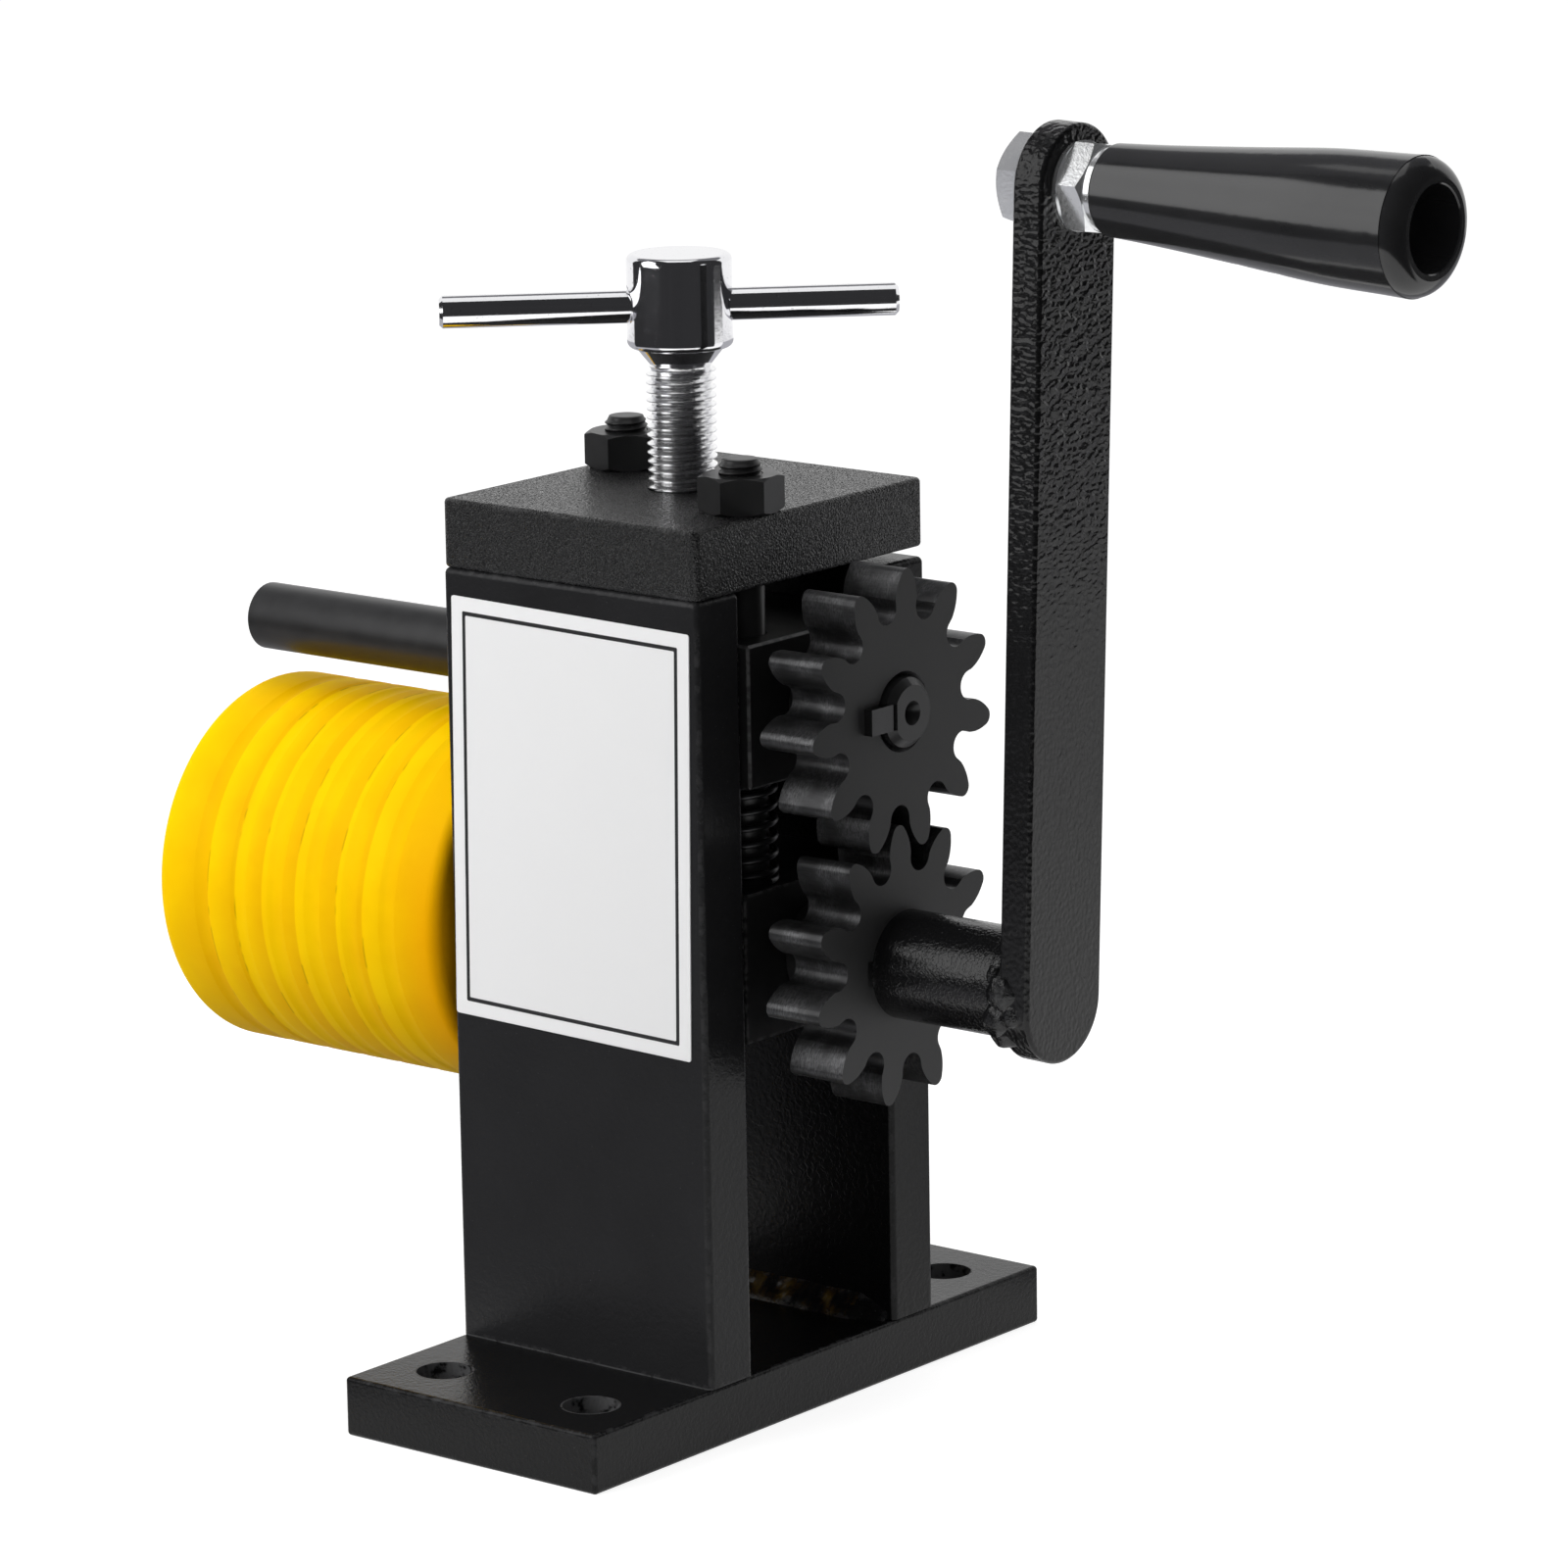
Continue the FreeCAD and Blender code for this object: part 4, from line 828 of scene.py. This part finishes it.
def coil_spring(sizes, parts, node):
    """Lifting spring with one closed turn at each end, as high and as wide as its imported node."""
    steps, around_wire = 36, 12
    low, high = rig.box(node)
    middle = (low + high) / 2
    wire = sizes.spring_wire / 2
    radius = (high.x - low.x) / 2 - wire
    closed = CLOSED_RISE * sizes.spring_wire
    stretch = high.z - low.z - 2 * wire - SPRING_TURNS * closed
    rings = []
    for index in range(SPRING_TURNS * steps + 1):
        turn = index / steps
        opened = min(max((turn - 1) / (SPRING_TURNS - 2), 0.0), 1.0)
        angle = 2 * math.pi * turn
        out = Vector((math.cos(angle), math.sin(angle), 0.0))
        level = low.z + wire + closed * turn + stretch * opened
        spot = Vector((middle.x, middle.y, level)) + out * radius
        ring = []
        for step in range(around_wire):
            bearing = 2 * math.pi * step / around_wire
            rise = Vector((0.0, 0.0, wire * math.sin(bearing)))
            ring.append(parts.verts.new(spot + out * (wire * math.cos(bearing)) + rise))
        rings.append(ring)
    skin(parts, rings)
    close_ends(parts, rings)


def close_ends(parts, rings):
    """Flat faces over the first and the last ring."""
    parts.faces.new(rings[0])
    parts.faces.new(rings[-1])


def bead_reach(leg, share, along, seed, step, rippling):
    """Distance from a weld's root to its skin: share runs from one leg to the other."""
    fullness = 1.0 - BEAD_HOLLOW * math.sin(math.pi * share)
    ripple = rippling * math.cos(2 * math.pi * (along / step + 0.12 * math.sin(6.0 * share)))
    lumps = BEAD_LUMPS * noise.noise(Vector((along / LUMP_LENGTH, share * 1.6, seed)))
    return leg * (fullness + (ripple + lumps) * math.sin(math.pi * (0.1 + 0.8 * share)))


def straight_bead(parts, node, leg, wall, level, seed, step):
    """Bead along X in the corner of a wall (a Y and its side) and a level (a Z and its side)."""
    count, across_bead, rippling = 150, 10, 0.008
    low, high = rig.box(node)
    side, up = wall[1], level[1]
    rings = []
    for index in range(count + 1):
        share_along = index / count
        x = low.x + (high.x - low.x) * share_along
        taper = min(1.0, END_TAPER * min(share_along, 1 - share_along) + BEAD_END)
        ring = [parts.verts.new((x, wall[0] + side * TUCK, level[0] - up * TUCK))]
        for turn in range(across_bead + 1):
            share = turn / across_bead
            reach = bead_reach(leg * taper, share, x, seed, step, rippling)
            angle = math.pi / 2 * share
            ring.append(parts.verts.new((x, wall[0] - side * reach * math.cos(angle),
                                         level[0] + up * reach * math.sin(angle))))
        rings.append(ring)
    skin(parts, rings)
    close_ends(parts, rings)


def hub_bead(parts, leg, step):
    """Bead round the crank's hub on the back of the dished arm, and its run over the arm's edge."""
    count, across_bead, seed, rippling = 144, 14, 7.0, 0.03
    hub_low, hub_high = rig.box("crank_hub")
    radius = (hub_high.y - hub_low.y) / 2
    axis = (hub_high.z + hub_low.z) / 2
    slope = math.tan(math.radians(ARM_DISH))
    squeeze = min(1.0, (ARM_HALF_WIDTH + TUCK - radius) / leg)
    root = radius - ROOT_TUCK
    round_lumps, across_lumps, start_lumps = 2.3, 1.2, 3.0
    rings = []
    for index in range(count):
        angle = 2 * math.pi * index / count
        ring = []
        for turn in range(across_bead + 1):
            share = turn / across_bead
            lean = math.pi / 2 * share
            spot = Vector((math.cos(angle) * round_lumps, math.sin(angle) * round_lumps,
                           share * across_lumps + start_lumps))
            swell = leg * HUB_SWELL * noise.noise(spot) * math.sin(math.pi * share)
            reach = bead_reach(leg, share, radius * angle, seed, step * 1.4, rippling) + swell
            out = radius - HUB_TUCK + reach * math.sin(lean) * squeeze
            height = out * math.sin(angle)
            ring.append(parts.verts.new((ARM_BACK + TUCK + slope * height - reach * math.cos(lean),
                                         out * math.cos(angle), axis + height)))
        height = root * math.sin(angle)
        ring.append(parts.verts.new((ARM_BACK + ROOT_TUCK + slope * height, root * math.cos(angle),
                                     axis + height)))
        rings.append(ring)
    skin(parts, rings, closed_rows=True)
    edge = Vector((ARM_BACK, -ARM_HALF_WIDTH, axis))
    for offset, half_sizes, mound_seed in HUB_RUNS:
        mound(parts, edge + Vector(offset), Vector(half_sizes), mound_seed)


def mound(parts, centre, half_sizes, seed):
    """Uneven round mound of run paint and weld metal."""
    rows, steps = 14, 28
    rings = []
    for row in range(rows + 1):
        tilt = math.pi * row / rows
        ring = []
        for step in range(1 if row in (0, rows) else steps):
            turn = 2 * math.pi * step / steps
            way = Vector((math.sin(tilt) * math.cos(turn), math.sin(tilt) * math.sin(turn),
                          math.cos(tilt)))
            bulge = 1.0 + BEAD_LUMPS * noise.noise(way * 1.6 + Vector((seed, 0.0, 0.0)))
            ring.append(parts.verts.new(centre + way * half_sizes * bulge))
        rings.append(ring)
    skin(parts, rings)


def rounded_rectangle(parts, width, height, corner, depth):
    """Ring of vertices of an upright rectangle with round corners, about the origin in XZ."""
    spots = 8
    ring = []
    for x_side, z_side, start in ((1, 1, 0), (-1, 1, 90), (-1, -1, 180), (1, -1, 270)):
        for spot in range(spots + 1):
            angle = math.radians(start + 90 * spot / spots)
            x = x_side * (width / 2 - corner) + corner * math.cos(angle)
            z = z_side * (height / 2 - corner) + corner * math.sin(angle)
            ring.append(parts.verts.new((x, depth, z)))
    return ring


def label_plate(sizes, parts):
    """Bare label: a thin plate with a frame line, laid a degree askew on the front upright."""
    rows = ((0.0, sizes.label_corner, 0.0),
            (0.0, sizes.label_corner, LABEL_THICK * 0.7),
            (LABEL_BEVEL, sizes.label_corner - LABEL_BEVEL, LABEL_THICK),
            (sizes.label_inset, LINE_OUTER_CORNER, LABEL_THICK),
            (sizes.label_inset + sizes.label_line, LINE_INNER_CORNER, LABEL_THICK))
    rings = [rounded_rectangle(parts, sizes.label_width - 2 * inset, sizes.label_height - 2 * inset,
                               corner, -thick) for inset, corner, thick in rows]
    skin(parts, rings)
    line_ring = set(rings[3]) | set(rings[4])
    for face in parts.faces:
        if line_ring.issuperset(face.verts):
            face.material_index = 1
    parts.faces.new(rings[-1]).material_index = 2
    parts.faces.new(rings[0])
    upright_low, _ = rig.box("front_upright")
    turn = Matrix.Rotation(math.radians(LABEL_TILT), 4, "Y")
    shift = Matrix.Translation((LABEL_X, upright_low.y, LABEL_Z))
    bmesh.ops.transform(parts, matrix=shift @ turn, verts=parts.verts)


# ---- Operators ---------------------------------------------------------------------------

class PRESS_OT_frame_plates(bpy.types.Operator):
    """Coat the base, the two uprights and the top plate"""

    bl_idname = "roller_press.frame_plates"
    bl_label = "Frame Plates"

    def execute(self, context):
        paint = tuple(context.scene.press_colours.paint)
        for node, coat in FRAME_COATS.items():
            finish_nodes(powder_coat(f"powder_coat_{node}", node, paint, **coat), "frame_paint", node)
        return {"FINISHED"}


class PRESS_OT_frame_welds(bpy.types.Operator):
    """Lay the weld beads at the feet of the uprights and under the lower block"""

    bl_idname = "roller_press.frame_welds"
    bl_label = "Frame Welds"

    def execute(self, context):
        sizes = context.scene.press_sizes
        paint = tuple(context.scene.press_colours.paint)
        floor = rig.box("base_plate")[1].z
        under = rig.box("lower_block")[0].z
        jobs = (("foot", sizes.weld_leg, floor, 1), ("block", sizes.block_weld_leg, under, -1))
        side_seed = 2.5
        for side_name, side in (("front", -1), ("back", 1)):
            low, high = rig.box(f"{side_name}_upright")
            inner = high.y if side < 0 else low.y
            for seed, (place, leg, level, up) in enumerate(jobs):
                node = f"{side_name}_{place}_weld"
                parts = bmesh.new()
                straight_bead(parts, node, leg, (inner, side), (level, up), seed + side_seed * side,
                              sizes.bead_step)
                coat = powder_coat(f"coat_{node}", node, paint, cell=0.9, depth=0.03, gloss=0.16)
                new_piece(f"{side_name}_{place}_bead", parts, [coat], "frame", "frame_paint", [node],
                          sharp=60.0)
        return {"FINISHED"}


class PRESS_OT_tie_rods(bpy.types.Operator):
    """Thread the two tie rods, blacken their nuts, and wind the two lifting springs"""

    bl_idname = "roller_press.tie_rods"
    bl_label = "Tie Rods, Nuts and Springs"

    def execute(self, context):
        sizes = context.scene.press_sizes
        colours = context.scene.press_colours
        oxide = blackened_steel("black_oxide_fixings", tuple(colours.blackened), gloss=0.30, metal=0.25)
        for node in ("front_tie_rod", "back_tie_rod"):
            parts = bmesh.new()
            threaded_stud(sizes, parts, node)
            new_piece(node.replace("rod", "stud"), parts, [oxide], "frame", "black_oxide", [node],
                      sharp=50.0)
        nut_oxide = blackened_steel("black_oxide_nuts", tint(colours.blackened, 0.8), gloss=0.26,
                                    metal=0.1, mirror=0.3)
        finish_nodes(nut_oxide, "black_oxide", "front_tie_nut", "back_tie_nut")
        wire = blackened_steel("spring_wire", tint(colours.cut_steel, 0.4), gloss=0.28, metal=0.9)
        for node in ("front_spring", "back_spring"):
            parts = bmesh.new()
            coil_spring(sizes, parts, node)
            coil = new_piece(node.replace("spring", "coil"), parts, [wire], None, "spring_steel", [node],
                             sharp=50.0)
            low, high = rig.box(node)
            middle = (low + high) / 2
            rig.blend(coil, "frame", "upper_block", start=(middle.x, middle.y, low.z),
                     end=(middle.x, middle.y, high.z))
        return {"FINISHED"}


class PRESS_OT_bearing_blocks(bpy.types.Operator):
    """Finish the two bearing blocks, the thrust pad and the keys"""

    bl_idname = "roller_press.bearing_blocks"
    bl_label = "Bearing Blocks, Pad and Keys"

    def execute(self, context):
        colours = context.scene.press_colours
        for node in ("lower_block", "upper_block"):
            steel = blackened_steel(f"milled_{node}", tuple(colours.blackened), gloss=0.24, metal=0.3,
                                    node=node, lines=(1.0, 0.1, 1.0))
            finish_nodes(steel, "block_steel", node)
        ground = bright_steel("ground_key_steel", tint(colours.turned_steel, 0.14), gloss=0.36, cell=0.7,
                              depth=0.01)
        finish_nodes(ground, "key_steel", "thrust_pad", "upper_key", "lower_key", "roller_key")
        return {"FINISHED"}


class PRESS_OT_pressure_screw(bpy.types.Operator):
    """Cut the pressure screw's thread, soften its bar hole, and plate it with its bar"""

    bl_idname = "roller_press.pressure_screw"
    bl_label = "Pressure Screw and Tommy Bar"

    def execute(self, context):
        colours = context.scene.press_colours
        chrome = bright_steel("chrome_plate", tuple(colours.chrome), gloss=0.035, cell=1.3, depth=0.006,
                              mottle=0.03)
        cut = bright_steel("chrome_thread", tint(colours.chrome, 1.18), gloss=0.17, cell=0.8, depth=0.03,
                           mottle=0.10)
        parts = bmesh.new()
        threaded_screw(context.scene.press_sizes, parts)
        new_piece("threaded_screw", parts, [chrome, cut], "screw", "chrome", ["pressure_screw"],
                  sharp=40.0)
        finish_nodes(chrome, "chrome", "tommy_bar")
        return {"FINISHED"}


class PRESS_OT_shafts(bpy.types.Operator):
    """Finish the two shafts with their rings and spacers, and the hub's grub screw"""

    bl_idname = "roller_press.shafts"
    bl_label = "Shafts, Rings and Spacers"

    def execute(self, context):
        colours = context.scene.press_colours
        steel = blackened_steel("satin_shaft", tint(colours.blackened, 1.6), gloss=0.27, metal=0.35,
                                lines=(0.15, 1.0, 1.0))
        finish_nodes(steel, "shaft_steel", "upper_shaft", "drive_shaft")
        oxide = blackened_steel("oxide_rings", tuple(colours.blackened), gloss=0.32, metal=0.3)
        finish_nodes(oxide, "black_oxide", "upper_spacer", "lower_spacer", "upper_retainer",
                     "crank_hub_grub")
        return {"FINISHED"}


class PRESS_OT_gears(bpy.types.Operator):
    """Finish the two gears: blackened faces and cut flanks"""

    bl_idname = "roller_press.gears"
    bl_label = "Gears"

    def execute(self, context):
        finish_nodes(gear_steel("gear_steel", context.scene.press_colours), "gear_steel",
                     "upper_gear", "lower_gear")
        return {"FINISHED"}


class PRESS_OT_large_roller(bpy.types.Operator):
    """Finish the large roller: its urethane tyre, its core and the washer behind it"""

    bl_idname = "roller_press.large_roller"
    bl_label = "Large Roller"

    def execute(self, context):
        colours = context.scene.press_colours
        finish_nodes(cast_urethane("cast_urethane", colours), "urethane", "roller_tyre")
        turned = bright_steel("turned_core", tuple(colours.turned_steel), gloss=0.34, cell=0.8,
                              depth=0.02)
        finish_nodes(turned, "core_steel", "roller_core", "roller_thrust_washer")
        return {"FINISHED"}


class PRESS_OT_crank(bpy.types.Operator):
    """Coat the crank's arm and hub, and lay the bead between them"""

    bl_idname = "roller_press.crank"
    bl_label = "Crank Arm and Hub"

    def execute(self, context):
        sizes = context.scene.press_sizes
        paint = tuple(context.scene.press_colours.paint)
        finish_nodes(leather_coat("leather_coat_arm", "crank_arm", paint), "crank_paint", "crank_arm")
        hub = powder_coat("glossy_coat_hub", "crank_hub", paint, cell=0.8, depth=0.085, gloss=0.10,
                          mirror=0.38)
        finish_nodes(hub, "crank_paint", "crank_hub")
        parts = bmesh.new()
        hub_bead(parts, sizes.hub_weld_leg, sizes.bead_step)
        new_piece("hub_bead", parts, [hub], "crank", "crank_paint", ["crank_hub_weld"], sharp=60.0)
        return {"FINISHED"}


class PRESS_OT_handle(bpy.types.Operator):
    """Finish the revolving handle's grip, and zinc-plate its bolt, nuts and washers and the roller's"""

    bl_idname = "roller_press.handle"
    bl_label = "Revolving Handle and Zinc Fixings"

    def execute(self, context):
        colours = context.scene.press_colours
        zinc = bright_steel("zinc_plate", tuple(colours.zinc), gloss=0.10, cell=0.9, depth=0.016,
                            metal=0.82, mottle=0.16)
        finish_nodes(zinc, "zinc", "handle_bolt", "handle_nut", "handle_washer", "grip_washer",
                     "grip_end_washer", "grip_end_nut", "roller_end_washer", "roller_end_screw")
        finish_nodes(grip_plastic("grip_plastic", tuple(colours.plastic)), "grip_plastic", "grip")
        return {"FINISHED"}


class PRESS_OT_label(bpy.types.Operator):
    """Stick the bare label plate on the front upright"""

    bl_idname = "roller_press.label"
    bl_label = "Label Plate"

    def execute(self, context):
        colours = context.scene.press_colours
        vinyl = label_vinyl("label_vinyl", tuple(colours.label))
        line = label_vinyl("label_line", tuple(colours.label_line))
        field = label_vinyl("label_field", tint(colours.label, 0.965))
        parts = bmesh.new()
        label_plate(context.scene.press_sizes, parts)
        new_piece("label_plate", parts, [vinyl, line, field], "frame", "frame_paint")
        return {"FINISHED"}


# ---- Studio ------------------------------------------------------------------------------

# What only reflections show round the machine. Corners are (azimuth, distance, height); a stretch is
# two azimuths and the (distance, height) rows between them.
LEANING_BOX = ((266, 0.75, 0.20), (227, 0.75, 0.20), (200, 0.60, 1.05), (238, 0.60, 1.05))
OVERHEAD_BOX = ((-106, 0.34, 1.3), (14, 0.34, 1.3), (107, 0.67, 1.3), (161, 0.67, 1.3))
FRONT, RIGHT, BACK, LEFT = (-168, 30), (30, 55), (55, 192), (192, 260)
DARK_ROOM = ((FRONT, ((0.55, 0.002), (0.95, 0.002), (0.95, 1.4), (0.05, 2.0))),
             (RIGHT, ((0.95, 0.10), (0.95, 1.4), (0.05, 2.0))))
DIM_ROOF = ((BACK, ((1.6, 1.4), (1.2, 1.9), (0.05, 2.0))),)
TABLE = ((LEFT, ((0.12, 0.001), (0.56, 0.001))), (BACK, ((0.12, 0.001), (1.5, 0.001))))

# The floor's paper, its white for the camera and for reflections, and its radius.
PAPER, FLOOR_WHITE, FLOOR_RADIUS = (0.42, 0.42, 0.42, 1), (0.84, 0.84, 0.84, 1), 9.0

# The camera: where it stands, where it looks, and its right-hand side.
CAMERA_PLACE = (1.04417, -1.24606, 0.50983)
CAMERA_AHEAD = (-0.61636, 0.75595, -0.22056)
CAMERA_RIGHT = (0.77724, 0.629, -0.01618)


def around(azimuth, distance, height):
    """Point on a circle about the machine."""
    angle = math.radians(azimuth)
    return Vector((distance * math.cos(angle), distance * math.sin(angle), height))


def soft_lamp(name, radiance, size, spot, aim):
    """Square lamp that lights the machine, but shows neither itself nor its reflection."""
    data = bpy.data.lights.new(name, "AREA")
    data.shape = "RECTANGLE"
    data.size = data.size_y = size
    data.energy = radiance * math.pi * size * size
    lamp = bpy.data.objects.new(name, data)
    lamp.location = spot
    lamp.rotation_euler = (Vector(aim) - Vector(spot)).to_track_quat("-Z", "Y").to_euler()
    lamp.visible_camera = False
    lamp.visible_glossy = False
    bpy.context.scene.collection.objects.link(lamp)


def glow(name, tone, cell, strength=1.0):
    """Unlit material of what only reflections show, a little uneven."""
    finish = Finish(name)
    shine = finish.blend(finish.noise(finish.place(), cell), tint(tone, 0.75), tone)
    return finish.surface(finish.shader(Base_Color=(0.0, 0.0, 0.0), Specular_IOR_Level=0.0,
                                        Emission_Color=shine, Emission_Strength=strength))


def stage_piece(name, parts, material):
    """Piece of the studio from a bmesh."""
    mesh = bpy.data.meshes.new(name)
    parts.to_mesh(mesh)
    parts.free()
    mesh.materials.append(material)
    piece = bpy.data.objects.new(name, mesh)
    bpy.context.scene.collection.objects.link(piece)
    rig.stage(piece)
    return piece


def reflected_only(name, parts, material):
    """Piece of the studio that only reflections show."""
    piece = stage_piece(name, parts, material)
    for kind in ("camera", "diffuse", "transmission", "volume_scatter", "shadow"):
        setattr(piece, f"visible_{kind}", False)


def curtain(name, tone, stretches):
    """Unlit surfaces of one tone, hung round the machine in stretches."""
    steps, cell, bluish = 48, 180.0, 1.06
    parts = bmesh.new()
    for (start, end), outline in stretches:
        turns = [start + (end - start) * step / steps for step in range(steps + 1)]
        rows = [[parts.verts.new(around(turn, distance, height)) for turn in turns]
                for distance, height in outline]
        for low, high in zip(rows, rows[1:]):
            for step in range(steps):
                parts.faces.new((low[step], low[step + 1], high[step + 1], high[step]))
    reflected_only(name, parts, glow(name, (tone, tone, tone * bluish), cell))


def soft_box(name, strength, corners):
    """Lit panel between four corners, as reflections show it."""
    cell = 300.0
    parts = bmesh.new()
    parts.faces.new([parts.verts.new(around(*corner)) for corner in corners])
    reflected_only(name, parts, glow(name, (1.0, 1.0, 1.0), cell, strength))


class PRESS_OT_studio(bpy.types.Operator):
    """Set up the pale floor, the soft lamps, the camera, and what reflections show round the machine"""

    bl_idname = "roller_press.studio"
    bl_label = "Studio"

    def execute(self, context):
        studio = context.scene.press_studio
        self.make_world(context.scene, studio)
        self.make_floor()
        curtain("dark_room", tone=0.036, stretches=DARK_ROOM)
        curtain("dim_roof", tone=0.22, stretches=DIM_ROOF)
        curtain("table", tone=0.52, stretches=TABLE)
        soft_lamp("key_lamp", studio.key, size=0.7, spot=around(240, distance=0.8, height=0.55),
                  aim=(0, 0, 0.15))
        soft_box("leaning_box", strength=2.5, corners=LEANING_BOX)
        soft_box("overhead_box", strength=1.15, corners=OVERHEAD_BOX)
        soft_lamp("top_lamp", studio.top, size=0.9, spot=(-0.15, 0.25, 1.15), aim=(0, 0, 0.1))
        self.make_camera(context.scene, studio)
        context.scene.view_settings.view_transform = "Standard"
        return {"FINISHED"}

    @staticmethod
    def make_world(scene, studio):
        """Even light all round, and white where the camera or a reflection looks past the floor."""
        finish = Finish("studio_world", "worlds", "ShaderNodeOutputWorld")
        room = finish.add("ShaderNodeBackground", {}, {"Strength": studio.room})
        white = finish.add("ShaderNodeBackground", {}, {"Color": (1, 1, 1, 1)})
        mix = finish.add("ShaderNodeMixShader", {}, {"Fac": finish.seen(), 1: room, 2: white})
        scene.world = finish.surface(mix)

    @staticmethod
    def make_floor():
        """Pale sheet that keeps the machine's shadow and is white where it is unshaded."""
        steps = 64
        finish = Finish("studio_floor")
        paper = finish.add("ShaderNodeBsdfDiffuse", {}, {"Color": PAPER})
        white = finish.add("ShaderNodeEmission", {}, {"Color": FLOOR_WHITE, "Strength": finish.seen()})
        sheet = finish.add("ShaderNodeAddShader", {}, {0: paper, 1: white})
        parts = bmesh.new()
        parts.faces.new([parts.verts.new(around(360 * step / steps, FLOOR_RADIUS, 0.0))
                         for step in range(steps)])
        stage_piece("studio_floor", parts, finish.surface(sheet))

    @staticmethod
    def make_camera(scene, studio):
        """Camera at three quarters from the front and the crank side."""
        data = bpy.data.cameras.new("studio_camera")
        data.sensor_width = 36.0
        data.lens = studio.lens
        data.clip_end = 30.0
        camera = bpy.data.objects.new("studio_camera", data)
        ahead = Vector(CAMERA_AHEAD).normalized()
        right = Vector(CAMERA_RIGHT)
        right = (right - ahead * right.dot(ahead)).normalized()
        turn = Matrix((right, right.cross(ahead), -ahead)).transposed().to_4x4()
        camera.matrix_world = Matrix.Translation(CAMERA_PLACE) @ turn
        scene.collection.objects.link(camera)
        scene.camera = camera


PIECES = (PRESS_OT_frame_plates, PRESS_OT_frame_welds, PRESS_OT_tie_rods, PRESS_OT_bearing_blocks,
          PRESS_OT_pressure_screw, PRESS_OT_shafts, PRESS_OT_gears, PRESS_OT_large_roller,
          PRESS_OT_crank, PRESS_OT_handle, PRESS_OT_label, PRESS_OT_studio)
GROUPS = (("press_sizes", PressSizes), ("press_colours", PressColours), ("press_studio", PressStudio))


class PRESS_PT_panel(bpy.types.Panel):
    """Sidebar panel that lists the pieces of the press"""

    bl_idname = "PRESS_PT_panel"
    bl_label = "Roller Press"
    bl_space_type = "VIEW_3D"
    bl_region_type = "UI"
    bl_category = "Roller Press"

    def draw(self, context):
        layout = self.layout
        for group, _ in GROUPS:
            box = layout.box()
            values = getattr(context.scene, group)
            for name in values.__annotations__:
                box.prop(values, name)
        column = layout.column(align=True)
        for piece in PIECES:
            column.operator(piece.bl_idname)


def register():
    """Register the property groups, the operators and the panel."""
    for name, group in GROUPS:
        bpy.utils.register_class(group)
        setattr(bpy.types.Scene, name, bpy.props.PointerProperty(type=group))
    for piece in PIECES:
        bpy.utils.register_class(piece)
    bpy.utils.register_class(PRESS_PT_panel)


def unregister():
    """Take back what register() added."""
    bpy.utils.unregister_class(PRESS_PT_panel)
    for piece in reversed(PIECES):
        bpy.utils.unregister_class(piece)
    for name, group in reversed(GROUPS):
        delattr(bpy.types.Scene, name)
        bpy.utils.unregister_class(group)


def main():
    """Build every piece in order and write the two boxes."""
    register()
    for piece in PIECES:
        family, action = piece.bl_idname.split(".")
        getattr(getattr(bpy.ops, family), action)()
    boxes = {"cad": [list(corner) for corner in CAD_BOX], "visual": [list(corner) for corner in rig.bounds()]}
    with open("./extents.json", "w") as out:
        json.dump(boxes, out)


if __name__ == "__main__":
    main()
